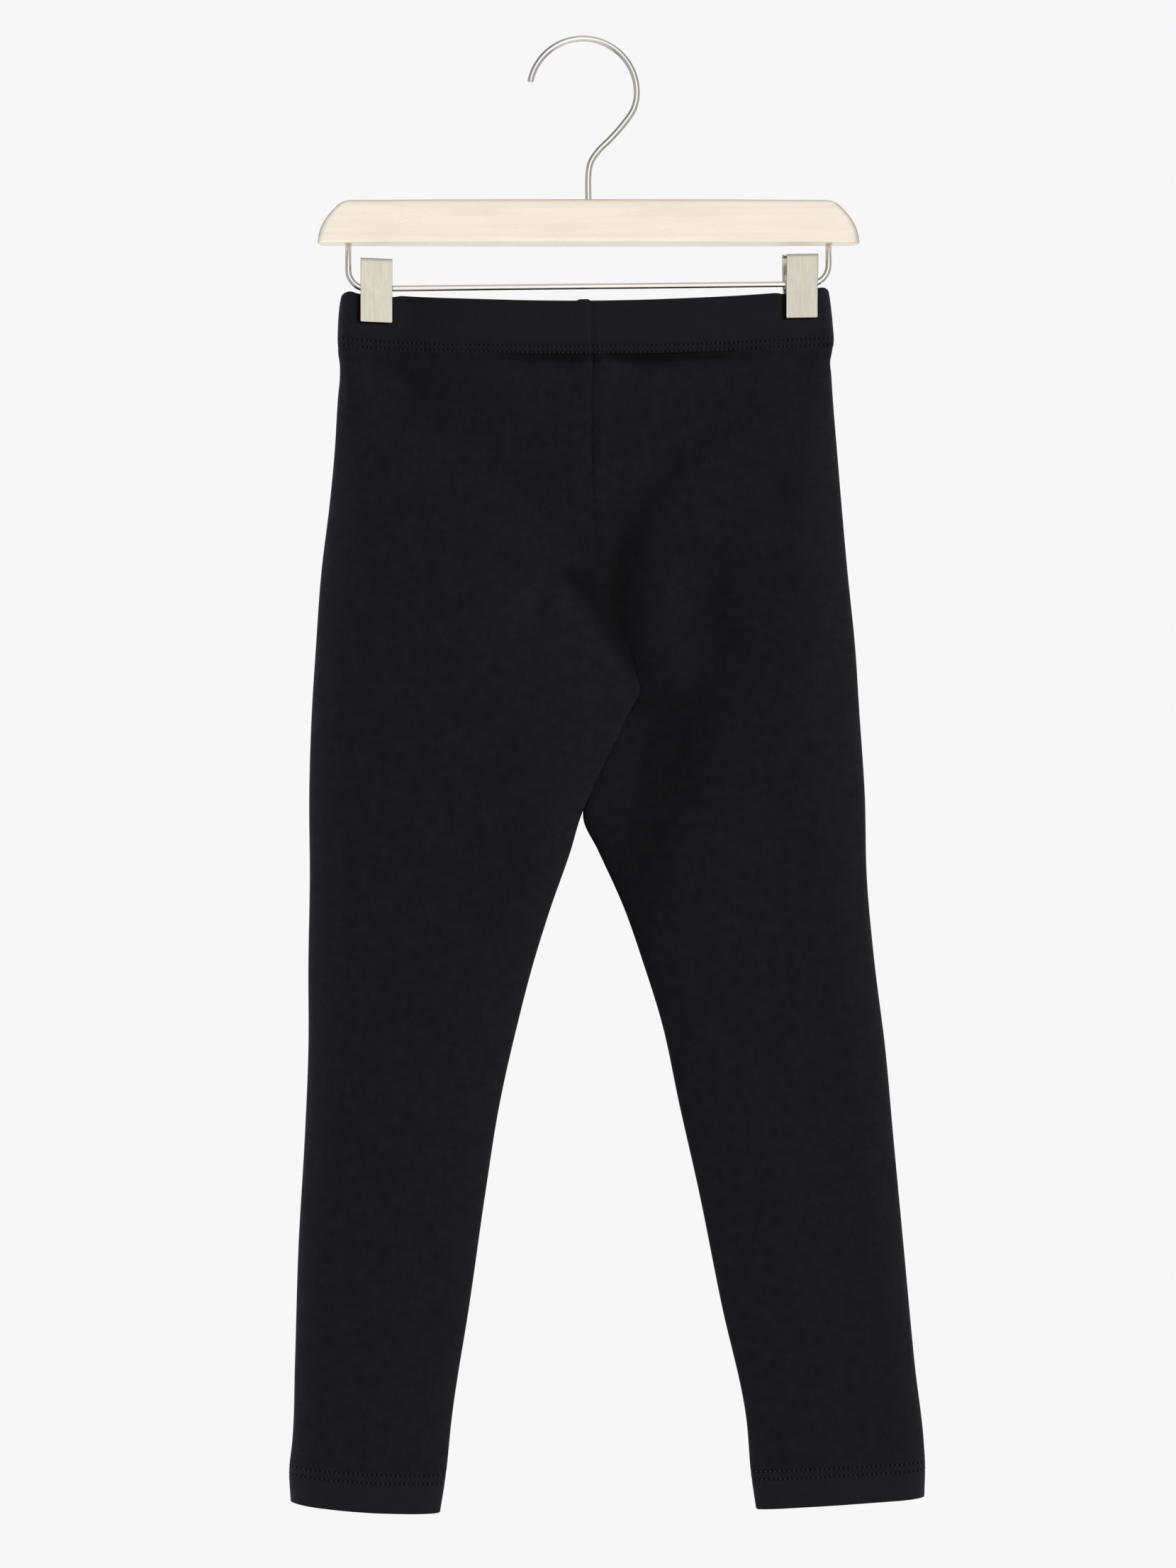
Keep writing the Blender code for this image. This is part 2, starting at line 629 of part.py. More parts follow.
for part in PARTS.objects:
    if part.type == "MESH":
        part.data.shade_smooth()
        part.data.set_sharp_from_angle(angle=math.radians(40))
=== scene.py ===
"""Leggings on a clip hanger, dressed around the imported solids.

Units are metres, +Z is up and the garment's front faces -Y. The origin is the underside of the hook's
crown, and a drop is a distance straight down from it, as in the source of the solids.
"""
import json
import math

import bmesh
import bpy
import numpy as np
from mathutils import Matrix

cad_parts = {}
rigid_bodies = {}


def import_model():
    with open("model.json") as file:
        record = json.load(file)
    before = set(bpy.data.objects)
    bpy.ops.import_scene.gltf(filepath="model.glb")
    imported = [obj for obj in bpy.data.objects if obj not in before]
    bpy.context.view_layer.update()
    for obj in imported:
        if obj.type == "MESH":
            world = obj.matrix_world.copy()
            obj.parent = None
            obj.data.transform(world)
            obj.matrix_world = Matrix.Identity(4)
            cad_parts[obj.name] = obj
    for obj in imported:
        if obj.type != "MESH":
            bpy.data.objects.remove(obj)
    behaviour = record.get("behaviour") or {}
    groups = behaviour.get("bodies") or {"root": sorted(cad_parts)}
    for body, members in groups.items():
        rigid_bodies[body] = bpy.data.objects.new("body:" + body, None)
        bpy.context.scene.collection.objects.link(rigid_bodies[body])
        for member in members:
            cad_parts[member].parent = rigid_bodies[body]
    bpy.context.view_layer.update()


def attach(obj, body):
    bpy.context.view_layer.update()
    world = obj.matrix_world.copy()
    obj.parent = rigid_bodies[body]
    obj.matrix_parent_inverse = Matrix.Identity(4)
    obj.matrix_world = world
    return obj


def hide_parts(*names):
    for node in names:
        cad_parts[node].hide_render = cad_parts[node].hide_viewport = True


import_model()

# Camera: level, opposite the middle of the picture, and far enough away that the sides of the clips
# show as little as they do there. One pixel of the picture is 0.3927 mm at the hanger.
PICTURE_HEIGHT = 2212
METRES_A_PIXEL = 0.0003927
PICTURE_MIDDLE_X = 0.00275
PICTURE_MIDDLE_DROP = 0.4111
CAMERA_DISTANCE = 1.35
SENSOR = 36.0

camera = bpy.data.cameras.new("camera")
camera.sensor_width = SENSOR
camera.lens = SENSOR * CAMERA_DISTANCE / (PICTURE_HEIGHT * METRES_A_PIXEL)
camera_object = bpy.data.objects.new("camera", camera)
camera_object.location = (PICTURE_MIDDLE_X, -CAMERA_DISTANCE, -PICTURE_MIDDLE_DROP)
camera_object.rotation_euler = (math.pi / 2, 0.0, 0.0)
bpy.context.scene.collection.objects.link(camera_object)
bpy.context.scene.camera = camera_object
bpy.context.scene.view_settings.view_transform = "Standard"


# Hanger bar: a birch slat planed flat in front, with rounded long edges and slanted, rounded ends,
# sanded and sprayed with a thin satin lacquer. The hook and the rod are pressed into drilled holes.
HANGER_X = 0.0030
BAR_LENGTH = 0.300
BAR_HEIGHT = 0.0239
BAR_TOP_DROP = 0.0883
BAR_MIDDLE_DEPTH = 0.0140
BAR_END_DEPTH = 0.0100
BAR_END_SLANT = 0.0140
BAR_END_CURVE = 2.2
BAR_END_ROUND = 0.0040
BAR_EDGE_ROUND = 0.0025
BAR_FOOT_ROUND = 0.0013
BAR_COLUMNS = 90


def linear(code):
    """sRGB hex to linear red, green, blue and alpha."""
    parts = np.array([int(code[k:k + 2], 16) for k in (1, 3, 5)]) / 255
    parts = np.where(parts <= 0.04045, parts / 12.92, ((parts + 0.055) / 1.055) ** 2.4)
    return (*parts.tolist(), 1.0)


def add_node(tree, kind, sockets=(), **settings):
    """Adds a node. Each socket is given a value, or the output that is linked to it, or the node whose
    first output is."""
    node = tree.nodes.new(kind)
    for name, value in settings.items():
        setattr(node, name, value)
    for key, value in dict(sockets).items():
        if isinstance(value, bpy.types.Node):
            value = value.outputs[0]
        if isinstance(value, bpy.types.NodeSocket):
            tree.links.new(value, node.inputs[key])
        else:
            node.inputs[key].default_value = value
    return node


def new_material(name, **sockets):
    """Material with its Principled shader, whose plain sockets are set here."""
    material = bpy.data.materials.new(name)
    material.use_nodes = True
    shader = material.node_tree.nodes["Principled BSDF"]
    for key, value in sockets.items():
        shader.inputs[key.replace("_", " ")].default_value = value
    return material, material.node_tree, shader


def close_mesh(mesh):
    """Joins points that lie together, and drops the faces that this leaves without an area."""
    shape = bmesh.new()
    shape.from_mesh(mesh)
    bmesh.ops.remove_doubles(shape, verts=shape.verts, dist=1e-6)
    bmesh.ops.dissolve_degenerate(shape, edges=shape.edges, dist=1e-7)
    shape.to_mesh(mesh)
    shape.free()


def put_grid(name, points, material, around=False, flip=False, caps=False, maps=None):
    """Piece whose quads join a grid of points, row by row. Around joins the last column to the first, and
    a UV map then has one column more than the points."""
    rows, columns = points.shape[:2]
    column = np.arange(columns + around)
    row = np.arange(rows)[:, None]

    def quads(index):
        return np.stack((index[:-1, :-1], index[:-1, 1:], index[1:, 1:], index[1:, :-1]), -1).reshape(-1, 4)

    corners = quads(row * columns + column % columns)
    faces = corners.tolist()
    if caps:
        faces += [list(range(columns))[::-1], list(range((rows - 1) * columns, rows * columns))]
    if flip:
        faces = [face[::-1] for face in faces]
    mesh = bpy.data.meshes.new(name)
    mesh.from_pydata(points.reshape(-1, 3).tolist(), [], faces)
    for map_name, uv in (maps or {}).items():
        spots = quads(row * len(column) + column)
        if flip:
            spots = spots[:, ::-1]
        layer = mesh.uv_layers.new(name=map_name)
        layer.data.foreach_set("uv", uv.reshape(-1, 2)[spots.ravel()].astype(np.float32).ravel())
    close_mesh(mesh)
    mesh.materials.append(material)
    mesh.shade_smooth()
    piece = bpy.data.objects.new(name, mesh)
    bpy.context.scene.collection.objects.link(piece)
    return piece


def nose(distance, reach, closed=1.0):
    """Rounding of an edge: a quarter ellipse from 0 at the edge to 1 at its reach."""
    left = np.clip(1 - distance / reach, 0.0, 1.0)
    return np.sqrt(1 - closed * left * left)


def bar_points():
    """Plan outlines stacked up the bar: bowed strips, drawn in at their slanted ends and round edges.

    The first and last rows close the underside and the top on the bar's middle line.
    """
    turns = np.radians(np.linspace(0, 90, 6))
    rise = 1 - np.cos(turns)
    inset = 1 - np.sin(turns)
    straight = np.linspace(BAR_FOOT_ROUND, BAR_HEIGHT - BAR_EDGE_ROUND, 9)[1:-1]
    top = BAR_HEIGHT - BAR_EDGE_ROUND * rise[::-1]
    rise = np.concatenate(([0, 0], BAR_FOOT_ROUND * rise, straight, top, [BAR_HEIGHT, BAR_HEIGHT]))
    ends = inset[[0, 0]]
    foot = BAR_FOOT_ROUND * np.concatenate((ends, inset))
    head = BAR_EDGE_ROUND * np.concatenate((inset[::-1], ends))
    inset = np.concatenate((foot, 0 * straight, head))
    fill = np.ones(len(rise))
    fill[[0, -1]] = 0.0
    fill[[1, -2]] = 0.6
    rise, inset, fill = rise[:, None], inset[:, None], fill[:, None]
    across = -np.cos(np.pi * np.linspace(0, 1, BAR_COLUMNS + 1))
    across = np.concatenate((across, across[-2:0:-1]))[None, :]
    face = np.where(np.arange(2 * BAR_COLUMNS) <= BAR_COLUMNS, -1.0, 1.0)[None, :]
    half_length = BAR_LENGTH / 2 - BAR_END_SLANT * (rise / BAR_HEIGHT) ** BAR_END_CURVE - inset
    x = half_length * across
    depth = BAR_END_DEPTH + (BAR_MIDDLE_DEPTH - BAR_END_DEPTH) * (1 - (x / (BAR_LENGTH / 2)) ** 2)
    y = face * (depth / 2 - inset) * nose(half_length - np.abs(x), BAR_END_ROUND) * fill
    return np.stack((HANGER_X + x, y, rise - BAR_TOP_DROP - BAR_HEIGHT + 0 * x), axis=-1)


# Birch is pale, even and fine: long faint growth bands about 4 mm apart, and vessels that show as thin
# dashes 2 to 6 mm long.
birch, tree, shader = new_material("lacquered_birch", Roughness=0.45, Coat_Weight=0.12, Coat_Roughness=0.3)
place = add_node(tree, "ShaderNodeTexCoord").outputs["Object"]
along = add_node(tree, "ShaderNodeMapping", {"Vector": place, "Scale": (14.0, 60.0, 260.0)})
bands = add_node(tree, "ShaderNodeTexNoise", {"Vector": along.outputs[0], "Scale": 1.0, "Detail": 4.0})
fine = add_node(tree, "ShaderNodeMapping", {"Vector": place, "Scale": (260.0, 1400.0, 2600.0)})
vessels = add_node(tree, "ShaderNodeTexNoise", {"Vector": fine.outputs[0], "Scale": 1.0, "Detail": 2.0})
broad = add_node(tree, "ShaderNodeTexNoise", {"Vector": place, "Scale": 22.0, "Detail": 2.0})
tone = add_node(tree, "ShaderNodeValToRGB", {"Fac": bands.outputs["Fac"]})
tone.color_ramp.elements[0].position = 0.30
tone.color_ramp.elements[0].color = linear("#e3d8c7")
tone.color_ramp.elements[1].position = 0.62
tone.color_ramp.elements[1].color = linear("#ebe2d4")
dashes = add_node(tree, "ShaderNodeMapRange", {0: vessels.outputs["Fac"], 1: 0.62, 2: 0.74, 3: 0.0, 4: 0.35})
dashed = add_node(
    tree, "ShaderNodeMix", {0: dashes.outputs[0], 6: tone.outputs[0], 7: linear("#c4ab8c")}, data_type="RGBA"
)
patch = add_node(tree, "ShaderNodeMapRange", {0: broad.outputs["Fac"], 1: 0.35, 2: 0.65, 3: 0.0, 4: 0.35})
birch_colour = add_node(
    tree, "ShaderNodeMix", {0: patch.outputs[0], 6: dashed.outputs[2], 7: linear("#eee4d4")}, data_type="RGBA"
)
tree.links.new(birch_colour.outputs[2], shader.inputs["Base Color"])
relief = add_node(
    tree, "ShaderNodeBump", {"Height": vessels.outputs["Fac"], "Strength": 0.12, "Distance": 0.0002}
)
tree.links.new(relief.outputs[0], shader.inputs["Normal"])

bar = put_grid("birch_bar", bar_points(), birch, around=True)
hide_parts("hanger_bar")
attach(bar, "root")


# Hook: one length of 3.5 mm steel wire, bent to a round crown and an S back over the bar's middle,
# satin nickel plated. Its tip is cropped, with the edge of the cut taken off.
HOOK_WIRE = 0.0035
HOOK_RADIUS = 0.0298
HOOK_TIP_ANGLE = math.radians(168)
HOOK_ARC_END = math.radians(-8)
HOOK_NECK = (
    (0.0276, -0.0382),
    (0.0226, -0.0454),
    (0.0155, -0.0535),
    (0.0088, -0.0601),
    (0.0042, -0.0671),
    (0.0029, -0.0753),
    (HANGER_X, -BAR_TOP_DROP),
)
SOCKET = 0.0012
WIRE_CHAMFER = 0.00035
WIRE_SIDES = 24


def smooth_path(points, steps):
    """Catmull-Rom spline: points of a rounded path through the given ones, each span in equal steps."""
    given = np.array([points[0], *points, points[-1]])
    before, start, end, after = (given[k:len(given) - 3 + k, None, :] for k in range(4))
    t = np.linspace(0, 1, steps, endpoint=False)[None, :, None]
    path = 2 * start + (end - before) * t + (2 * before - 5 * start + 4 * end - after) * t ** 2
    path = (path + (3 * start - before - 3 * end + after) * t ** 3) / 2
    return np.concatenate((path.reshape(-1, given.shape[1]), given[-1:]))


def wire_points(path, diameter):
    """Rings of a round wire along a path of x and z: a ring's point is the path's, plus the radius times
    the cosine along the path's normal and the sine along y. Both ends are turned in to a small chamfer."""
    way = np.gradient(path, axis=0)
    way /= np.linalg.norm(way, axis=1)[:, None]
    path = np.concatenate((path[:1] - way[:1] * WIRE_CHAMFER, path, path[-1:] + way[-1:] * WIRE_CHAMFER))
    way = np.concatenate((way[:1], way, way[-1:]))
    radius = np.full(len(path), diameter / 2)
    radius[[0, -1]] -= WIRE_CHAMFER
    turn = np.linspace(0, 2 * np.pi, WIRE_SIDES, endpoint=False)
    normal = np.stack((-way[:, 1], way[:, 0]), axis=1)
    x = path[:, :1] + radius[:, None] * np.cos(turn) * normal[:, :1]
    z = path[:, 1:] + radius[:, None] * np.cos(turn) * normal[:, 1:]
    return np.stack((x, radius[:, None] * np.sin(turn) + 0 * x, z), axis=-1)


# Satin nickel is a warm, light metal; the wire was tumbled before plating, which leaves it softly matt
# with faint rubs of 2 mm or so.
nickel_wire, tree, shader = new_material("satin_nickel_wire", Metallic=1.0)
shader.inputs["Base Color"].default_value = linear("#ebe8e3")
place = add_node(tree, "ShaderNodeTexCoord").outputs["Object"]
rubs = add_node(tree, "ShaderNodeTexNoise", {"Vector": place, "Scale": 420.0, "Detail": 3.0})
cloud = add_node(tree, "ShaderNodeTexNoise", {"Vector": place, "Scale": 45.0, "Detail": 2.0})
matt = add_node(tree, "ShaderNodeMapRange", {0: cloud.outputs["Fac"], 1: 0.3, 2: 0.7, 3: 0.14, 4: 0.19})
tree.links.new(matt.outputs[0], shader.inputs["Roughness"])
relief = add_node(
    tree, "ShaderNodeBump", {"Height": rubs.outputs["Fac"], "Strength": 0.03, "Distance": 0.0001}
)
tree.links.new(relief.outputs[0], shader.inputs["Normal"])

turns = np.linspace(HOOK_TIP_ANGLE, HOOK_ARC_END, 70)
crown = np.stack((np.cos(turns), np.sin(turns)), axis=1) * HOOK_RADIUS
crown[:, 1] += HOOK_WIRE / 2 - HOOK_RADIUS
neck = smooth_path([tuple(crown[-1]), *HOOK_NECK], 9)
foot = np.array([[HANGER_X, -BAR_TOP_DROP - SOCKET]])
hook = put_grid(
    "wire_hook",
    wire_points(np.concatenate((crown[:-1], neck, foot)), HOOK_WIRE),
    nickel_wire,
    around=True,
    caps=True,
)
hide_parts("hanger_hook")
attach(hook, "root")


# Rod: 3.4 mm nickel plated wire, bent up at both ends into the bar. The leggings' weight and the play
# in its holes let it hang a little lower on the left.
ROD_WIRE = 0.0034
ROD_DROP = 0.1355
ROD_SLOPE = 0.0105
ROD_UPRIGHT = 0.1330
ROD_BEND = 0.0105


def rod_height(offset):
    """Z of the rod's middle line beside the hanger's middle: a slope, and a quarter circle at each end."""
    beyond = np.clip(np.abs(offset) - ROD_UPRIGHT + ROD_BEND, 0.0, ROD_BEND)
    return ROD_SLOPE * offset - ROD_DROP + ROD_BEND - np.sqrt(ROD_BEND ** 2 - beyond ** 2)


bend = ROD_BEND * (1 - np.cos(np.linspace(0, np.pi / 2, 17))) - ROD_UPRIGHT
offsets = np.concatenate((bend, np.linspace(bend[-1], -bend[-1], 40)[1:-1], -bend[::-1]))
bar_foot = SOCKET - BAR_TOP_DROP - BAR_HEIGHT
path = np.stack((offsets, rod_height(offsets)), axis=1)
path = np.concatenate(([(-ROD_UPRIGHT, bar_foot)], path, [(ROD_UPRIGHT, bar_foot)])) + (HANGER_X, 0.0)
rod = put_grid("wire_rod", wire_points(path, ROD_WIRE), nickel_wire, around=True, caps=True)
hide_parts("clip_rod")
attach(rod, "root")


# Clips: two plates of 1 mm steel each, stamped, folded at the top to a small lip and at the sides to
# ears that turn on the rod, then nickel plated. A leaf spring over the rod spreads the levers.
CLIP_PLACE = 0.1175
CLIP_WIDTH = 0.0175
CLIP_TOP_DROP = 0.1197
CLIP_FOOT_DROP = 0.1548
CLIP_YAW = math.radians(5.5)
CLIP_SHEET = 0.0010
CLIP_CORNER = 0.0006
CLIP_EDGE = 0.00016
CLIPPED_HALF_DEPTH = 0.00335
CLEARANCE = 0.0003
LEVER_SPREAD = 0.0022
LIP = 0.0024
EAR_TOP = 0.0050
EAR_RIM = 0.0006
EAR_REACH = 0.0033
EAR_BORE = 0.00195
ASKEW = {"left": -0.025, "right": 0.035}
LEVER_ASIDE = {"left": (0.0, 0.0), "right": (-0.0005, 0.0014)}
SPRING_SHEET = 0.0006
SPRING_WIDTH = 0.0070
SPRING_CORNER = 0.0008
SPRING_EDGE = 0.0001
SPRING_CREST = 0.0012

# Rows of points up the jaw from the plate's foot, close together where its corners are rounded
JAW_RISES = (0.0, 0.0001, 0.0002, 0.0004, 0.0006, 0.0040, 0.0090)

# Plate from the jaw up to the lever: distance outward from the jaw, height from the rod
LEVER_CURVE = ((0.0, -0.0060), (0.0, -0.0038), (0.0006, -0.0005), (0.0014, 0.0035), (0.0019, 0.0075))

# Lip over the lever's end, in lip widths: distance outward from the end, height from the plate's top
LIP_CURVE = ((0.0, -1.3), (-0.02, -0.7), (-0.12, -0.42), (-0.34, -0.25), (-0.62, -0.21), (-1.0, -0.26))

# Arm of the leaf spring: distance from the clip's middle, height from the rod
SPRING_ARM = ((0.0048, 0.0110), (0.0042, 0.0072), (0.0030, 0.0043))

# The stamped sheet is a yellower nickel than the wire, rolled smooth, so it is even and only satin, with
# rolling marks about 1 mm apart.
nickel_sheet, tree, shader = new_material("satin_nickel_sheet", Metallic=1.0)
shader.inputs["Base Color"].default_value = linear("#d6d2c3")
place = add_node(tree, "ShaderNodeTexCoord").outputs["Object"]
rolled = add_node(tree, "ShaderNodeMapping", {"Vector": place, "Scale": (900.0, 900.0, 60.0)})
lines = add_node(tree, "ShaderNodeTexNoise", {"Vector": rolled.outputs[0], "Scale": 1.0, "Detail": 3.0})
matt = add_node(tree, "ShaderNodeMapRange", {0: lines.outputs["Fac"], 1: 0.3, 2: 0.7, 3: 0.30, 4: 0.40})
tree.links.new(matt.outputs[0], shader.inputs["Roughness"])
relief = add_node(
    tree, "ShaderNodeBump", {"Height": lines.outputs["Fac"], "Strength": 0.05, "Distance": 0.0001}
)
tree.links.new(relief.outputs[0], shader.inputs["Normal"])


def turned(points, place_x):
    """Points turned by the clip's yaw about the upright through its middle."""
    x, y, z = np.moveaxis(points, -1, 0)
    cos, sin = math.cos(CLIP_YAW), math.sin(CLIP_YAW)
    return np.stack((place_x + x * cos - y * sin, x * sin + y * cos, z), axis=-1)


def strip_points(profile, width, corner):
    """A (y, z) profile carried across a width, whose corners at the profile's ends are rounded."""
    step = np.linalg.norm(np.diff(profile, axis=0), axis=1)
    way = np.concatenate(([0.0], np.cumsum(step)))
    end = np.minimum(way, way[-1] - way)
    half = width / 2 - corner * (1 - nose(end, corner))
    across = np.sin(np.linspace(-np.pi / 2, np.pi / 2, 9))
    x = half[:, None] * across
    return np.stack((x, profile[:, :1] + 0 * x, profile[:, 1:] + 0 * x), axis=-1)


def ear_points(x, up, down, ahead, behind):
    """Flat ear round the rod: from the bore's circle out to a rounded rectangle, 1 / (u^6 + v^6)^(1/6)."""
    turn = np.linspace(0, 2 * np.pi, 48, endpoint=False)
    y, z = np.cos(turn), np.sin(turn)
    u = y / np.where(y < 0, ahead, behind)
    v = z / np.where(z < 0, down, up)
    outline = (u ** 6 + v ** 6) ** (-1 / 6)
    share = np.linspace(0, 1, 4)[:, None]
    radius = EAR_BORE + (outline - EAR_BORE) * share
    return np.stack((x + 0 * radius, radius * y, radius * z), axis=-1)


def give_wall(piece, thickness, bevel):
    """Sheet thickness to both sides of the surface, and softened edges."""
    wall = piece.modifiers.new("sheet", "SOLIDIFY")
    wall.thickness = thickness
    wall.offset = 0.0
    edge = piece.modifiers.new("edge", "BEVEL")
    edge.width = bevel
    edge.segments = 2
    edge.limit_method = "ANGLE"
    edge.angle_limit = math.radians(50)


def join_grids(name, grids, material):
    """One piece of several grids of points, each (points, around)."""
    points, faces, start = [], [], 0
    for grid, around in grids:
        rows, columns = grid.shape[:2]
        index = start + np.arange(rows)[:, None] * columns + np.arange(columns + around) % columns
        quads = np.stack((index[:-1, :-1], index[:-1, 1:], index[1:, 1:], index[1:, :-1]), -1)
        points += grid.reshape(-1, 3).tolist()
        faces += quads.reshape(-1, 4).tolist()
        start += rows * columns
    mesh = bpy.data.meshes.new(name)
    mesh.from_pydata(points, [], faces)
    mesh.materials.append(material)
    mesh.shade_smooth()
    piece = bpy.data.objects.new(name, mesh)
    bpy.context.scene.collection.objects.link(piece)
    return piece


for side_name, side in (("left", -1), ("right", 1)):
    place_x = HANGER_X + side * CLIP_PLACE
    rod_z = float(rod_height(side * CLIP_PLACE))
    top = rod_z + ROD_DROP - CLIP_TOP_DROP
    plate_foot = rod_z + ROD_DROP - CLIP_FOOT_DROP
    jaw = CLIPPED_HALF_DEPTH + CLEARANCE + CLIP_SHEET / 2
    spread = jaw + LEVER_SPREAD
    upper = [(jaw + out, rod_z + rise) for out, rise in LEVER_CURVE]
    upper += [(spread + out * LIP, top + rise * LIP) for out, rise in LIP_CURVE]
    for plate_name, face, ear_offset in (
        ("front", -1, CLIP_WIDTH / 2 - CLIP_SHEET / 2),
        ("back", 1, CLIP_WIDTH / 2 - 1.5 * CLIP_SHEET - CLEARANCE),
    ):
        flat = [(jaw, plate_foot + rise) for rise in JAW_RISES]
        profile = np.concatenate((flat, smooth_path(upper, 5))) * (face, 1.0)
        plate_points = strip_points(profile, CLIP_WIDTH, CLIP_CORNER)
        if face < 0:
            plate_points[..., 2] += ASKEW[side_name] * plate_points[..., 0]
        else:
            plate_points[..., 0] += LEVER_ASIDE[side_name][0]
            plate_points[..., 2] += LEVER_ASIDE[side_name][1]
        grids = [(plate_points, False)]
        for ear in (-1, 1):
            reaches = (jaw, EAR_REACH) if face < 0 else (EAR_REACH, jaw)
            bore_z = rod_height(side * CLIP_PLACE + ear * ear_offset)
            grid = ear_points(ear * ear_offset, EAR_TOP, EAR_BORE + EAR_RIM, *reaches)
            grid[..., 2] += bore_z
            grids.append((grid, True))
        grids = [(turned(grid, place_x), around) for grid, around in grids]
        plate = join_grids("clip_plate_" + side_name + "_" + plate_name, grids, nickel_sheet)
        give_wall(plate, CLIP_SHEET, CLIP_EDGE)
        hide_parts("clip_" + side_name + "_" + plate_name)
        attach(plate, "root")
    seat = ROD_WIRE / 2 + CLEARANCE + SPRING_SHEET / 2
    arm = [*SPRING_ARM, (SPRING_CREST, seat)]
    bow = [(-y, rod_z + rise) for y, rise in arm] + [(y, rod_z + rise) for y, rise in reversed(arm)]
    grid = turned(strip_points(smooth_path(bow, 6), SPRING_WIDTH, SPRING_CORNER), place_x)
    spring = join_grids("clip_leaf_" + side_name, [(grid, False)], nickel_wire)
    give_wall(spring, SPRING_SHEET, SPRING_EDGE)
    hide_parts("clip_" + side_name + "_spring")
    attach(spring, "root")


# Waistband: a casing of the leggings' own jersey, folded at the top over a 30 mm elastic and sewn down
# with a twin needle. The clips hold it flat at both ends, and between them it sags and opens a little.
BAND_WALL = 0.0024
BAND_TOP_DROP = 0.13735
BAND_FOOT_DROP = 0.1692
BAND_HALF_DEPTH = 0.0062
WAIST_SAG = 0.0069
WAIST_TILT = 0.00065
WAIST_CENTRE_X = 0.0013
WAIST_HALF_WIDTH = 0.1372
FOLD_RADIUS = 0.0020
CORNER_RADIUS = 0.0060
CORNER_DROP = 0.0040
CLIP_DIP = 0.0010
CLIP_DIP_RUN = 0.0060
PINCH_START = 0.0480
PINCH_RUN = 0.0600
PINCH_FADE = 0.1100
SAG_FADE = 0.1350
YAW_REACH = 0.0260
FOLD_LIMIT = 0.0120
RIGHT_CORNER_RISE = 0.0020
BAND_COLUMNS = 230

# Waistband side edges: drop, left edge, right edge
BAND_EDGE_ROWS = (
    (0.1370, -0.1340, 0.1364),
    (0.1430, -0.1347, 0.1371),
    (0.1570, -0.1357, 0.1385),
    (0.1670, -0.1358, 0.1390),
    (0.1725, -0.1353, 0.1381),
)

# Outer side edges of the legs: drop, left edge, right edge, half depth
SIDE_ROWS = (
    (0.1670, -0.1358, 0.1389, 0.0062),
    (0.1728, -0.1354, 0.1379, 0.0062),
    (0.1770, -0.1348, 0.1371, 0.0063),
    (0.1840, -0.1346, 0.1376, 0.0065),
    (0.1967, -0.1357, 0.1384, 0.0069),
    (0.2281, -0.1377, 0.1409, 0.0075),
    (0.2595, -0.1408, 0.1435, 0.0080),
    (0.2909, -0.1447, 0.1463, 0.0083),
    (0.3380, -0.1482, 0.1510, 0.0084),
    (0.3695, -0.1502, 0.1530, 0.0082),
    (0.4166, -0.1517, 0.1561, 0.0079),
    (0.4637, -0.1514, 0.1573, 0.0076),
    (0.5108, -0.1522, 0.1616, 0.0073),
    (0.5579, -0.1522, 0.1675, 0.0071),
    (0.6051, -0.1541, 0.1718, 0.0069),
    (0.6679, -0.1577, 0.1777, 0.0066),
    (0.7307, -0.1596, 0.1836, 0.0062),
    (0.7779, -0.1612, 0.1887, 0.0059),
    (0.7936, -0.1628, 0.1895, 0.0058),
    (0.8117, -0.1620, 0.1891, 0.0057),
)

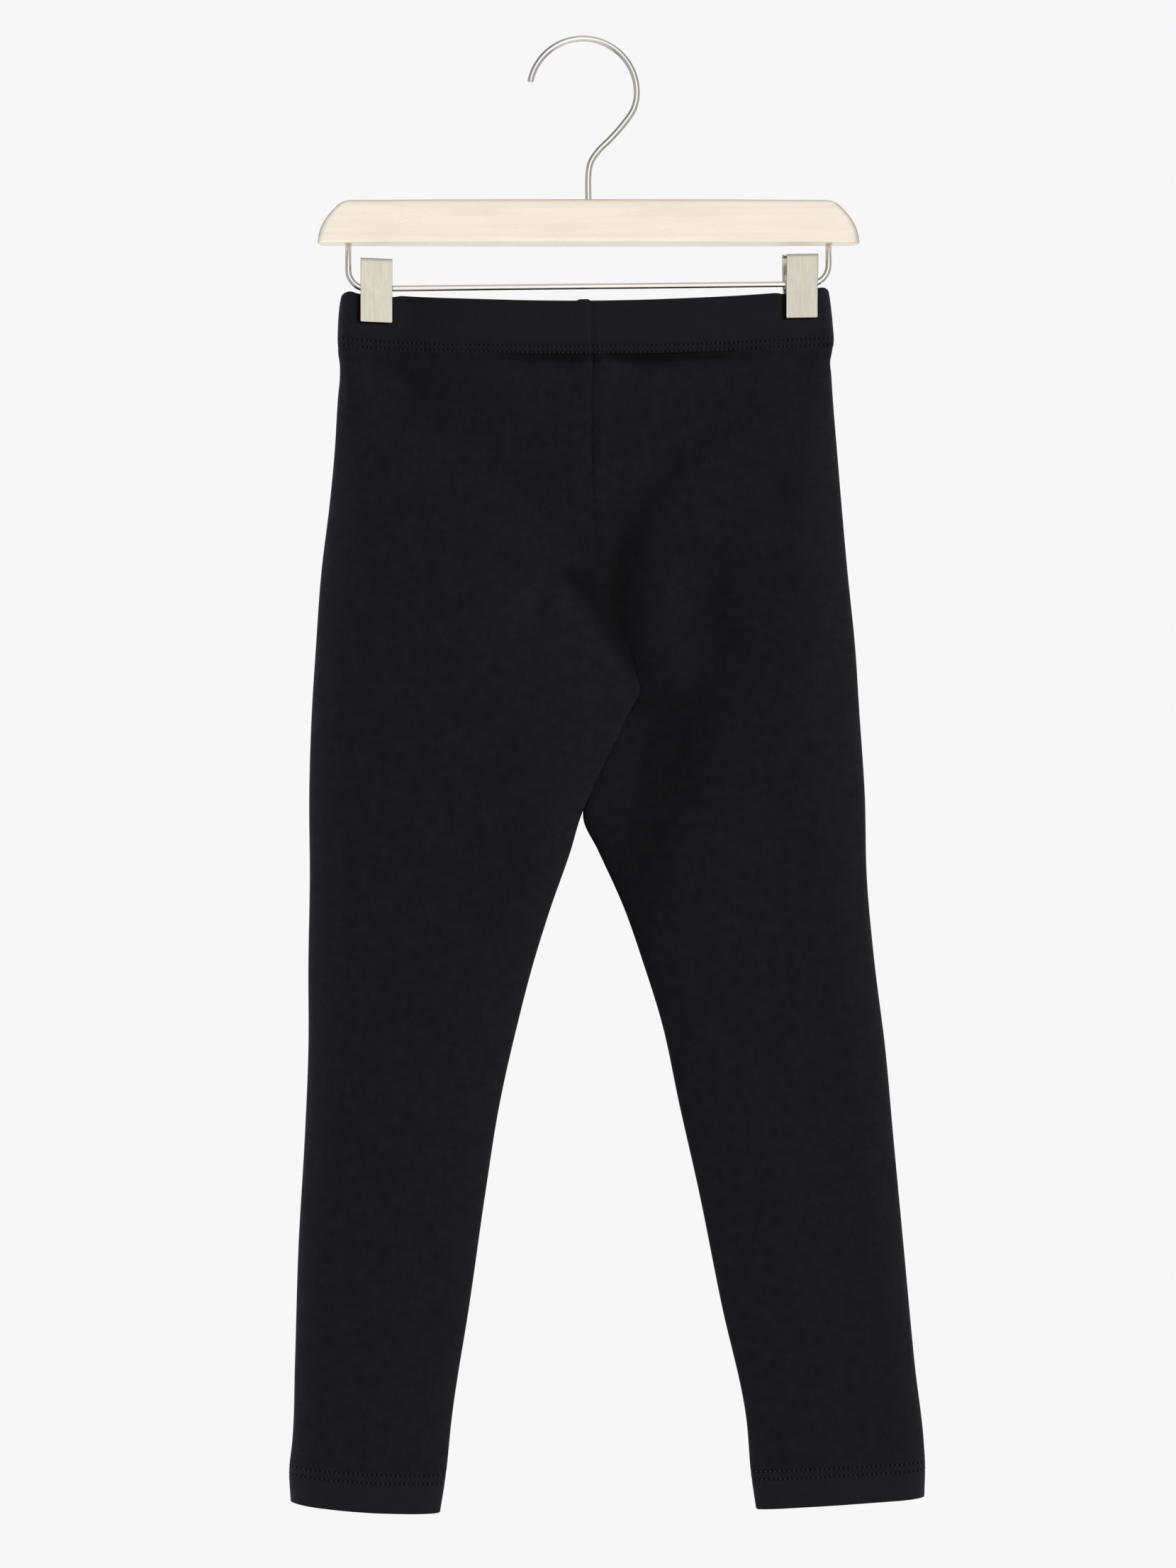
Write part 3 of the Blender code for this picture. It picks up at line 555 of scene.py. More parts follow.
# Folds of the front, each a line of points: x, drop, half width on the left or below, half width on the
# right or above, depth (a ridge is negative)
FRONT_FOLDS = (
    (
        (0.116, 0.182, 0.0180, 0.0090, 0.0008),
        (0.080, 0.209, 0.0200, 0.0100, 0.0020),
        (0.046, 0.239, 0.0220, 0.0110, 0.0042),
        (0.026, 0.262, 0.0280, 0.0150, 0.0054),
        (0.015, 0.286, 0.0400, 0.0170, 0.0076),
        (0.012, 0.312, 0.0480, 0.0180, 0.0092),
        (0.020, 0.342, 0.0380, 0.0170, 0.0060),
    ),
    (
        (-0.0290, 0.3200, 0.0050, 0.0080, 0.0010),
        (-0.0230, 0.3070, 0.0060, 0.0070, 0.0036),
        (-0.0120, 0.3005, 0.0070, 0.0070, 0.0050),
        (-0.0020, 0.3070, 0.0075, 0.0080, 0.0044),
        (0.0060, 0.3200, 0.0070, 0.0090, 0.0032),
        (0.0185, 0.3385, 0.0055, 0.0080, 0.0022),
        (0.0300, 0.3520, 0.0040, 0.0060, 0.0008),
    ),
    (
        (-0.112, 0.176, 0.0160, 0.0120, 0.0008),
        (-0.048, 0.236, 0.0180, 0.0130, 0.0012),
        (-0.004, 0.284, 0.0180, 0.0130, 0.0008),
    ),
    (
        (0.070, 0.276, 0.0240, 0.0240, 0.0006),
        (0.067, 0.312, 0.0280, 0.0240, 0.0052),
        (0.060, 0.350, 0.0280, 0.0270, 0.0070),
        (0.045, 0.390, 0.0260, 0.0280, 0.0052),
        (0.030, 0.430, 0.0240, 0.0280, 0.0036),
        (0.025, 0.466, 0.0220, 0.0260, 0.0012),
    ),
    (
        (0.032, 0.344, 0.0200, 0.0300, 0.0006),
        (0.020, 0.386, 0.0240, 0.0500, 0.0044),
        (0.008, 0.420, 0.0240, 0.0500, 0.0050),
        (0.012, 0.462, 0.0240, 0.0360, 0.0020),
    ),
    ((0.120, 0.200, 0.0140, 0.0140, -0.0008), (0.122, 0.430, 0.0150, 0.0150, -0.0012)),
    ((-0.070, 0.480, 0.0200, 0.0200, 0.0006), (-0.100, 0.560, 0.0200, 0.0200, 0.0005)),
    ((0.070, 0.520, 0.0220, 0.0240, 0.0008), (0.110, 0.600, 0.0220, 0.0240, 0.0007)),
)

# Folds of the back, the same way
BACK_FOLDS = (
    (
        (-0.120, 0.184, 0.0110, 0.0180, 0.0008),
        (-0.066, 0.232, 0.0120, 0.0200, 0.0022),
        (-0.022, 0.276, 0.0130, 0.0200, 0.0030),
        (0.004, 0.306, 0.0140, 0.0160, 0.0016),
    ),
    (
        (0.098, 0.190, 0.0160, 0.0110, 0.0008),
        (0.060, 0.238, 0.0180, 0.0120, 0.0020),
        (0.036, 0.284, 0.0180, 0.0150, 0.0034),
        (0.032, 0.326, 0.0170, 0.0140, 0.0024),
    ),
    (
        (0.070, 0.306, 0.0050, 0.0030, 0.0004),
        (0.056, 0.298, 0.0070, 0.0030, 0.0014),
        (0.040, 0.310, 0.0080, 0.0030, 0.0018),
        (0.032, 0.336, 0.0070, 0.0030, 0.0008),
    ),
    ((-0.112, 0.200, 0.0140, 0.0140, -0.0006), (-0.118, 0.410, 0.0150, 0.0150, -0.0009)),
    (
        (-0.064, 0.330, 0.0240, 0.0180, 0.0010),
        (-0.048, 0.384, 0.0260, 0.0180, 0.0030),
        (-0.034, 0.430, 0.0240, 0.0160, 0.0014),
    ),
    ((0.084, 0.360, 0.0160, 0.0220, 0.0012), (0.050, 0.440, 0.0160, 0.0220, 0.0022)),
    ((-0.112, 0.500, 0.0200, 0.0200, 0.0007), (-0.086, 0.590, 0.0200, 0.0200, 0.0006)),
    ((0.104, 0.560, 0.0220, 0.0220, 0.0006), (0.132, 0.640, 0.0220, 0.0220, 0.0006)),
)

# Twin needle rows and the seam across the band: their places, and how far the thread pulls the cloth in
BAND_STITCH_DROPS = (0.1645, 0.1682)
STITCH_LENGTH = 0.0025
STITCH_PULL = 0.00025
STITCH_PULL_WIDTH = 0.0010
BAND_SEAM_X = 0.0043
BAND_SEAM_DEPTH = 0.00045
BAND_SEAM_WIDTH = 0.00070
ALLOWANCE = 0.0080
ALLOWANCE_RISE = 0.00022
LUMP_RISE = 0.00075


def smooth_curve(at, table, column):
    """Cubic through a table's rows: each row's slope comes from its two neighbours."""
    rows = np.array(table)
    knots = rows[:, 0]
    values = rows[:, column]
    slopes = np.gradient(values, knots)
    at = np.clip(at, knots[0], knots[-1])
    k = np.clip(np.searchsorted(knots, at) - 1, 0, len(knots) - 2)
    span = knots[k + 1] - knots[k]
    t = (at - knots[k]) / span
    start = (1 + 2 * t) * (1 - t) ** 2 * values[k] + t * (1 - t) ** 2 * span * slopes[k]
    end = t * t * (3 - 2 * t) * values[k + 1] + t * t * (t - 1) * span * slopes[k + 1]
    return start + end


def ease(t):
    """Smooth step from 0 to 1."""
    t = np.clip(t, 0.0, 1.0)
    return t * t * (3 - 2 * t)


def bell(distance, half_width):
    """Bell curve: 1 at no distance, and 1/e at the half width."""
    return np.exp(-((distance / half_width) ** 2))


def half_depth(x, drop):
    """Half of the garment's depth: the table's, less the pinch that the two clips give the waist."""
    depth = np.where(drop < BAND_FOOT_DROP, BAND_HALF_DEPTH, smooth_curve(drop, SIDE_ROWS, 3))
    pinch = 1 - CLIPPED_HALF_DEPTH / BAND_HALF_DEPTH
    near_clip = ease((np.abs(x - HANGER_X) - PINCH_START) / PINCH_RUN)
    below_clip = ease((drop - CLIP_FOOT_DROP) / PINCH_FADE)
    return depth * (1 - pinch * near_clip * (1 - below_clip))


def sag(x, drop):
    """How far the cloth hangs below a level line between the clips: a parabola and a slight tilt."""
    across = np.clip((x - WAIST_CENTRE_X) / WAIST_HALF_WIDTH, -1.0, 1.0)
    fade = np.clip(1 - (drop - BAND_TOP_DROP) / SAG_FADE, 0.0, 1.0) ** 1.3
    return (WAIST_SAG * (1 - across ** 2) - WAIST_TILT * across) * fade


def waist_turn(x, drop):
    """Y of the cloth's middle where each clip, turned a little about its upright, turns the waist."""
    total = np.zeros(np.broadcast(x, drop).shape)
    for side in (-1, 1):
        offset = x - HANGER_X - side * CLIP_PLACE
        total += math.tan(CLIP_YAW) * offset * bell(offset, YAW_REACH)
    return total * (1 - ease((drop - CLIP_FOOT_DROP) / PINCH_FADE))


def fold_depth(x, drop, folds):
    """Sum of soft troughs. Each is a bell curve of the distance to its line, whose depth and widths are
    those of the line's nearest place; the width goes over from one side's to the other's round its ends."""
    total = np.zeros(np.broadcast(x, drop).shape)
    for fold in folds:
        line = smooth_path(fold, 4) if len(fold) > 2 else np.array(fold)
        nearest = np.full(total.shape, np.inf)
        width = np.ones(total.shape)
        depth = np.zeros(total.shape)
        for start, end in zip(line[:-1], line[1:]):
            run = end - start
            along = ((x - start[0]) * run[0] + (drop - start[1]) * run[1]) / (run[0] ** 2 + run[1] ** 2)
            along = np.clip(along, 0.0, 1.0)
            away_x = x - start[0] - along * run[0]
            away_drop = drop - start[1] - along * run[1]
            distance = np.hypot(away_x, away_drop)
            beside = (away_x * run[1] - away_drop * run[0]) / (math.hypot(run[0], run[1]) * distance + 1e-9)
            closer = distance < nearest
            left, right = (start[k] + along * run[k] for k in (2, 3))
            width = np.where(closer, (left + right + (right - left) * beside) / 2, width)
            depth = np.where(closer, start[4] + along * run[4], depth)
            nearest = np.where(closer, distance, nearest)
        total += depth * bell(nearest, width)
    return total


def cloth_depth(x, drop, face, thickness, edges):
    """Y of a cloth wall: its half depth, less the folds, both fading out at the rounded edges. A hyperbolic
    tangent keeps the deepest folds short of the other wall."""
    folds = np.where(face < 0, fold_depth(x, drop, FRONT_FOLDS), fold_depth(x, drop, BACK_FOLDS))
    folds = FOLD_LIMIT * np.tanh(folds / FOLD_LIMIT)
    return face * (half_depth(x, drop) - thickness - folds) * edges + waist_turn(x, drop)


def band_points(height_share, wall_share):
    """Rows of the waistband's section, carried round the flattened waist from its left edge.

    Each row has its height as a share from the foot, and its depth as a share of the wall from outside.
    """
    height_share = np.array(height_share)[:, None]
    wall_share = np.array(wall_share)[:, None]
    thickness = wall_share * BAND_WALL
    drop = BAND_FOOT_DROP - height_share * (BAND_FOOT_DROP - BAND_TOP_DROP)
    even = np.linspace(-1, 1, BAND_COLUMNS + 1)
    across = 0.4 * even + 0.6 * np.sin(np.pi / 2 * even)
    across = np.concatenate((across, across[-2:0:-1]))[None, :]
    face = np.where(np.arange(2 * BAND_COLUMNS) <= BAND_COLUMNS, -1.0, 1.0)[None, :]
    left = smooth_curve(drop, BAND_EDGE_ROWS, 1) + thickness
    right = smooth_curve(drop, BAND_EDGE_ROWS, 2) - thickness
    x = (left + right) / 2 + (right - left) / 2 * across
    edge = np.minimum(x - left, right - x)
    edges = nose(edge, half_depth(x, drop) ** 2 / FOLD_RADIUS)
    outer = 1 - wall_share
    pull = sum(bell(drop - row, STITCH_PULL_WIDTH) for row in BAND_STITCH_DROPS) * STITCH_PULL
    seam = BAND_SEAM_DEPTH * bell(x - BAND_SEAM_X, BAND_SEAM_WIDTH)
    beside = (BAND_SEAM_X - x) / ALLOWANCE
    allowance = ALLOWANCE_RISE * ease(8 * beside) * ease(4 * (1 - beside))
    relief = (pull + seam - allowance) * outer + 0.5 * pull * wall_share
    y = cloth_depth(x, drop, face, thickness, edges) - face * relief * edges
    clip_distance = np.abs(np.abs(x - HANGER_X) - CLIP_PLACE) - CLIP_WIDTH / 2
    rim = CORNER_DROP * (1 - nose(edge, CORNER_RADIUS))
    rim = rim + CLIP_DIP * (1 - ease(clip_distance / CLIP_DIP_RUN))
    rim = rim - LUMP_RISE * ease(8 * beside) * ease(4 * (1 - beside))
    rim = rim - RIGHT_CORNER_RISE * ease((x - HANGER_X - CLIP_PLACE) / CLIP_DIP_RUN)
    z = -(drop + sag(x, drop) + rim * height_share ** 4)
    points = np.stack((x, y, z), axis=-1)
    closed = np.concatenate((points, points[:, :1]), axis=1)
    return points, *cloth_maps(closed, drop, np.array(BAND_STITCH_DROPS))


def cloth_maps(lines, drop, stitch_drops):
    """UV of each line of points: metres along and down it, and then in stitches along the line and in half
    spacings of the two stitch rows down it."""
    way = np.cumsum(np.linalg.norm(np.diff(lines, axis=1), axis=2), axis=1)
    way = np.concatenate((np.zeros((len(way), 1)), way), axis=1)
    whole = way[:, -1:]
    count = np.round(np.interp(stitch_drops.mean(), drop[:, 0], whole[:, 0]) / STITCH_LENGTH)
    level = (drop - stitch_drops.mean()) / np.ptp(stitch_drops) * 2
    knit = np.stack((way, -drop + 0 * way), axis=-1)
    return knit, np.stack((way / whole * count, level + 0 * way), axis=-1)


# Black cotton and elastane single jersey: matt and slightly fuzzy. Its wales, V-shaped columns of loops,
# are 0.7 mm apart in such cloth and are drawn 0.9 mm apart, so that they show, over a mottle of 6 mm. The
# needle leaves a hole between two stitches, drawn 1.3 mm wide, wider than a real one, so that it shows; the
# shade inside each hole is painted into the cloth's colour as a near-black spot. Its place comes from the map
# that counts in stitches, with one row spacing between the band's and the hems'.
# Where the cloth lies double, in the waistband and the hems, no light gets through it and it looks lighter.
WALE = 0.0009
COURSE = 0.0007
ROW_HALF_SPACING = 0.0020

# Distances from a hole's middle, and heights on the garment, between which the cloth goes over from a
# hole to whole cloth, and from single to double
HOLE_EDGE = (0.00040, 0.00090)
CASING_EDGE = (-0.1690, -0.1600)
HEM_EDGE = (-0.7990, -0.7870)

jersey, tree, shader = new_material(
    "black_cotton_jersey",
    Roughness=0.6,
    Specular_IOR_Level=0.03,
    Sheen_Weight=0.04,
    Sheen_Roughness=0.35,
)
shader.inputs["Sheen Tint"].default_value = linear("#a5a8c4")

knit_place = add_node(tree, "ShaderNodeUVMap", uv_map="knit")
along, height = add_node(tree, "ShaderNodeSeparateXYZ", {0: knit_place}).outputs[:2]
wales = add_node(tree, "ShaderNodeMath", {0: along, 1: 1 / WALE}, operation="MULTIPLY")
column = add_node(tree, "ShaderNodeMath", {0: wales}, operation="FRACT")
off_middle = add_node(tree, "ShaderNodeMath", {0: column, 1: 0.5}, operation="SUBTRACT")
leg_of_v = add_node(tree, "ShaderNodeMath", {0: off_middle}, operation="ABSOLUTE")
courses = add_node(tree, "ShaderNodeMath", {0: height, 1: 1 / COURSE}, operation="MULTIPLY")
slanted = add_node(tree, "ShaderNodeMath", {0: leg_of_v, 1: 1.6, 2: courses}, operation="MULTIPLY_ADD")
turns = add_node(tree, "ShaderNodeMath", {0: slanted, 1: 2 * math.pi}, operation="MULTIPLY")
loops = add_node(tree, "ShaderNodeMath", {0: turns}, operation="SINE")
yarn = add_node(tree, "ShaderNodeMath", {0: loops, 1: 0.25, 2: 0.5}, operation="MULTIPLY_ADD")
beside_wale = add_node(tree, "ShaderNodeMath", {0: leg_of_v, 1: 2.0}, operation="POWER")
knit = add_node(tree, "ShaderNodeMath", {0: beside_wale, 1: -3.0, 2: yarn}, operation="MULTIPLY_ADD")
place = add_node(tree, "ShaderNodeTexCoord").outputs["Object"]
fuzz = add_node(tree, "ShaderNodeTexNoise", {"Vector": place, "Scale": 900.0, "Detail": 2.0})
fuzzy = add_node(tree, "ShaderNodeMath", {0: fuzz.outputs["Fac"], 1: 0.8, 2: knit}, operation="MULTIPLY_ADD")
stitch_place = add_node(tree, "ShaderNodeUVMap", uv_map="stitches")
stitch, level = add_node(tree, "ShaderNodeSeparateXYZ", {0: stitch_place}).outputs[:2]
past = add_node(tree, "ShaderNodeMath", {0: stitch, 1: 0.5}, operation="PINGPONG")
past = add_node(tree, "ShaderNodeMath", {0: past, 1: STITCH_LENGTH}, operation="MULTIPLY")
above = add_node(tree, "ShaderNodeMath", {0: level}, operation="ABSOLUTE")
above = add_node(tree, "ShaderNodeMath", {0: above, 1: 1.0}, operation="SUBTRACT")
above = add_node(tree, "ShaderNodeMath", {0: above, 1: ROW_HALF_SPACING}, operation="MULTIPLY")
above = add_node(tree, "ShaderNodeMath", {0: above, 1: 2.0}, operation="POWER")
away = add_node(tree, "ShaderNodeMath", {0: past, 1: past, 2: above}, operation="MULTIPLY_ADD")
away = add_node(tree, "ShaderNodeMath", {0: away}, operation="SQRT")
hole = add_node(tree, "ShaderNodeMapRange", {0: away, 1: HOLE_EDGE[0], 2: HOLE_EDGE[1], 3: 1.0, 4: 0.0})
pierced = add_node(tree, "ShaderNodeMath", {0: hole, 1: -3.0, 2: fuzzy}, operation="MULTIPLY_ADD")
mottle = add_node(
    tree, "ShaderNodeTexNoise", {"Vector": place, "Scale": 160.0, "Detail": 5.0, "Roughness": 0.7}
)
dye = add_node(tree, "ShaderNodeValToRGB", {"Fac": mottle.outputs["Fac"]})
dye.color_ramp.elements[0].position = 0.30
dye.color_ramp.elements[0].color = linear("#131315")
dye.color_ramp.elements[1].position = 0.70
dye.color_ramp.elements[1].color = linear("#19191b")
casing = add_node(
    tree, "ShaderNodeMapRange", {0: height, 1: CASING_EDGE[0], 2: CASING_EDGE[1], 3: 0.0, 4: 0.5}
)
hem = add_node(tree, "ShaderNodeMapRange", {0: height, 1: HEM_EDGE[0], 2: HEM_EDGE[1], 3: 0.5, 4: 0.0})
doubled = add_node(tree, "ShaderNodeMath", {0: casing, 1: hem}, operation="ADD")
cloth = add_node(tree, "ShaderNodeMix", {0: doubled, 6: dye, 7: linear("#1d1d1f")}, data_type="RGBA")
# Painted shade: each needle hole darkens the cloth's colour towards near-black
painted_hole_shade = add_node(tree, "ShaderNodeMath", {0: hole, 1: 0.62}, operation="MULTIPLY")
cloth_colour = add_node(
    tree, "ShaderNodeMix", {0: painted_hole_shade, 6: cloth.outputs[2], 7: linear("#020202")}, data_type="RGBA"
)
tree.links.new(cloth_colour.outputs[2], shader.inputs["Base Color"])
relief = add_node(tree, "ShaderNodeBump", {"Height": pierced, "Strength": 0.35, "Distance": 0.00012})
tree.links.new(relief.outputs[0], shader.inputs["Normal"])

# The casing's section, each row a height share and a wall share: up the outside, over the fold at the
# top, down the inside and round the lower edge
outside = np.array([0.04, 0.10, 0.11, 0.12, 0.14, 0.16, 0.19, 0.205, 0.22, 0.235, 0.26, 0.30])
outside = np.concatenate((outside, np.linspace(0.34, 0.90, 15), [0.93, 0.955]))
roll = np.radians(np.linspace(0, 180, 11))
sections = [(0.0, 0.03), (0.012, 0.0), (0.025, 0.0)]
sections += [(share, 0.0) for share in outside]
sections += [(0.965 + 0.035 * math.sin(turn), 0.5 - 0.5 * math.cos(turn)) for turn in roll]
inside = (0.90, 0.75, 0.60, 0.45, 0.30, 0.22, 0.205, 0.16, 0.12, 0.11, 0.07, 0.035)
sections += [(share, 1.0) for share in inside]
sections += [(0.012, 0.90), (0.0, 0.65), (0.0, 0.35), (0.0, 0.03)]
points, knit_map, stitch_map = band_points(*zip(*sections))
waistband = put_grid(
    "jersey_waistband", points, jersey, around=True, maps={"knit": knit_map, "stitches": stitch_map}
)
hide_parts("waistband")
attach(waistband, "root")


# Twin needle stitching of the waistband: black polyester thread, a little smoother than the jersey, whose
# colour is painted lighter than the jersey's to stand in for its highlights.
# Each stitch lies on the cloth for about 1.2 mm of its 2.5 mm and dives into it at both ends.
STITCH_SHARE = 0.46
THREAD_RADIUS = 0.00021

thread, tree, shader = new_material("black_polyester_thread", Roughness=0.45, Specular_IOR_Level=0.3)
place = add_node(tree, "ShaderNodeTexCoord").outputs["Object"]
twist = add_node(tree, "ShaderNodeTexNoise", {"Vector": place, "Scale": 2500.0, "Detail": 1.0})
# Thread colour: a ply tone that varies at random, set lighter than the jersey's as a painted highlight
ply_tone_and_painted_highlight = add_node(tree, "ShaderNodeValToRGB", {"Fac": twist.outputs["Fac"]})
ply_tone_and_painted_highlight.color_ramp.elements[0].color = linear("#1e1e21")
ply_tone_and_painted_highlight.color_ramp.elements[1].color = linear("#2b2b30")
tree.links.new(ply_tone_and_painted_highlight.outputs[0], shader.inputs["Base Color"])
relief = add_node(
    tree, "ShaderNodeBump", {"Height": twist.outputs["Fac"], "Strength": 0.3, "Distance": 0.0001}
)
tree.links.new(relief.outputs[0], shader.inputs["Normal"])


def stitches_along(line, outward, count):
    """Row of stitches on a line of points, given the outward direction at each: points by stitch, ring
    along it and side of the thread. A stitch's height is a parabola that starts and ends in the cloth."""
    way = np.concatenate(([0.0], np.cumsum(np.linalg.norm(np.diff(line, axis=0), axis=1))))
    ring = np.linspace(-0.5, 0.5, 6)
    at = (np.arange(count)[:, None] + 0.5 + ring * STITCH_SHARE) * way[-1] / count

    def on_line(values):
        return np.stack([np.interp(at, way, values[:, k]) for k in range(3)], axis=-1)

    centre = on_line(line)
    out = on_line(outward)
    out /= np.linalg.norm(out, axis=-1, keepdims=True)
    forward = np.gradient(centre, axis=1)
    forward /= np.linalg.norm(forward, axis=-1, keepdims=True)
    beside = np.cross(forward, out)
    lift = THREAD_RADIUS * (0.7 - 7.0 * ring ** 2)
    radius = THREAD_RADIUS * (1 - 1.6 * ring ** 2)
    centre = centre + out * lift[:, None]
    turn = np.linspace(0, 2 * np.pi, 6, endpoint=False)[:, None]
    around = out[:, :, None] * np.cos(turn) + beside[:, :, None] * np.sin(turn)
    return centre[:, :, None] + around * radius[:, None, None]


def put_stitches(name, rows):
    """One piece of all the stitches of several rows."""
    stitches = np.concatenate(rows)
    grids = [(stitch, True) for stitch in stitches]
    return join_grids(name, grids, thread)


count = round(float(stitch_map[0, -1, 0]))
rows = []
for row_drop in BAND_STITCH_DROPS:
    share = (BAND_FOOT_DROP - row_drop) / (BAND_FOOT_DROP - BAND_TOP_DROP)
    ring_points = band_points((share - 0.01, share, share + 0.01), (0.0, 0.0, 0.0))[0]
    ring_points = np.concatenate((ring_points, ring_points[:, :1]), axis=1)
    outward = np.cross(np.gradient(ring_points[1], axis=0), ring_points[2] - ring_points[0])
    rows.append(stitches_along(ring_points[1], outward, count))
band_stitches = put_stitches("waistband_stitches", rows)
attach(band_stitches, "root")


# Legs: one panel of jersey each, cut whole from the centre seams over the outer side, so only a rise
# seam at the front and the back and one inseam join them. The hems are turned up and twin-stitched.
JERSEY = 0.0007
CROTCH_DROP = 0.3569
CROTCH_ARC = 0.0450
HEM_DROP = 0.8117
HEM_TURN = 0.0225
HEM_TILT_START = 0.7300
INSEAM_PRESS = 0.35
INSEAM_PRESS_WIDTH = 0.0500
LAP_SHIFT = 0.0029
LAP_START = 0.0160
LAP_END_DROP = 0.4200
LAP_FADE = 0.0900
LAP_WIDTH = 0.0500

# Rise seam from the waistband to the crotch: drop, place
RISE_ROWS = (
    (0.1728, 0.0053),
    (0.2450, 0.0053),
    (0.2700, 0.0065),
    (0.2909, 0.0108),
    (0.3145, 0.0179),
    (0.3380, 0.0261),
    (0.3569, 0.0320),
)

# Inseam edges from the crotch to the hem: drop, left leg, right leg
INSEAM_ROWS = (
    (0.3569, 0.0320, 0.0320),
    (0.3640, 0.0290, 0.0289),
    (0.3700, 0.0262, 0.0252),
    (0.3780, 0.0225, 0.0196),
    (0.4000, 0.0120, 0.0091),
    (0.4180, 0.0036, 0.0012),
    (0.4300, -0.0012, -0.0003),
    (0.4480, -0.0065, 0.0080),
    (0.4794, -0.0175, 0.0222),
    (0.5108, -0.0273, 0.0332),
    (0.5422, -0.0355, 0.0430),
    (0.5894, -0.0461, 0.0532),
    (0.6365, -0.0536, 0.0638),
    (0.6993, -0.0626, 0.0764),
    (0.7622, -0.0725, 0.0901),
    (0.7936, -0.0760, 0.0929),
    (0.8117, -0.0790, 0.0956),
)

# Hems: drop at the outer edge, drop at the inseam, and the power of the curve between them
LEFT_HEM = (0.8085, 0.8148, 2.2)
RIGHT_HEM = (0.8058, 0.8127, 1.0)

# The cloth dips in where it is gathered below the waistband, in the columns of the folds
FRONT_TUCKS = (
    (
        (-0.050, 0.1735, 0.0080, 0.0034, 0.0003),
        (-0.030, 0.1742, 0.0100, 0.0038, 0.0024),
        (-0.010, 0.1742, 0.0100, 0.0038, 0.0030),
        (0.003, 0.1738, 0.0080, 0.0034, 0.0014),
    ),
    (
        (0.009, 0.1738, 0.0080, 0.0034, 0.0014),
        (0.026, 0.1744, 0.0110, 0.0040, 0.0040),
        (0.052, 0.1744, 0.0110, 0.0040, 0.0038),
        (0.074, 0.1740, 0.0100, 0.0036, 0.0024),
        (0.098, 0.1732, 0.0080, 0.0030, 0.0002),
    ),
)
BACK_TUCKS = (
    (
        (-0.072, 0.1735, 0.0080, 0.0034, 0.0003),
        (-0.048, 0.1744, 0.0110, 0.0040, 0.0034),
        (-0.024, 0.1744, 0.0110, 0.0040, 0.0038),
        (-0.004, 0.1738, 0.0080, 0.0034, 0.0010),
    ),
    (
        (0.010, 0.1738, 0.0080, 0.0034, 0.0010),
        (0.034, 0.1744, 0.0110, 0.0040, 0.0034),
        (0.060, 0.1735, 0.0080, 0.0034, 0.0003),
    ),
)

# Small creases of the front: start x, start drop, end x, end drop, half width, depth
FRONT_CREASES = (
    (-0.118, 0.176, -0.104, 0.206, 0.0060, 0.00027),
    (-0.103, 0.178, -0.080, 0.214, 0.0050, 0.00021),
    (0.121, 0.176, 0.112, 0.212, 0.0055, 0.00027),
    (0.108, 0.178, 0.088, 0.206, 0.0050, -0.00018),
    (-0.060, 0.262, -0.020, 0.300, 0.0060, -0.00024),
    (-0.046, 0.286, -0.006, 0.318, 0.0055, 0.00024),
    (0.034, 0.296, 0.052, 0.262, 0.0060, 0.00027),
    (0.040, 0.318, 0.070, 0.276, 0.0070, -0.00027),
    (0.002, 0.328, 0.026, 0.350, 0.0050, 0.00030),
    (-0.020, 0.340, 0.020, 0.362, 0.0060, -0.00027),
    (-0.034, 0.362, 0.008, 0.386, 0.0070, 0.00024),
    (0.044, 0.366, 0.030, 0.398, 0.0045, 0.00027),
    (0.086, 0.352, 0.060, 0.402, 0.0080, -0.00024),
    (-0.132, 0.300, -0.122, 0.392, 0.0080, 0.00024),
    (-0.100, 0.404, -0.064, 0.446, 0.0090, 0.00021),
    (-0.140, 0.470, -0.112, 0.520, 0.0080, 0.00021),
    (-0.070, 0.560, -0.098, 0.588, 0.0070, -0.00021),
    (-0.136, 0.610, -0.104, 0.640, 0.0080, 0.00021),
    (-0.078, 0.690, -0.110, 0.722, 0.0080, 0.00018),
    (-0.150, 0.742, -0.120, 0.770, 0.0070, -0.00018),
    (0.148, 0.300, 0.140, 0.372, 0.0070, 0.00024),
    (0.142, 0.440, 0.112, 0.486, 0.0080, 0.00021),
    (0.062, 0.552, 0.092, 0.572, 0.0070, -0.00021),
    (0.158, 0.560, 0.132, 0.604, 0.0080, 0.00021),
    (0.092, 0.642, 0.122, 0.668, 0.0080, 0.00021),
    (0.168, 0.690, 0.138, 0.726, 0.0080, -0.00018),
    (0.100, 0.752, 0.128, 0.774, 0.0070, 0.00018),
)

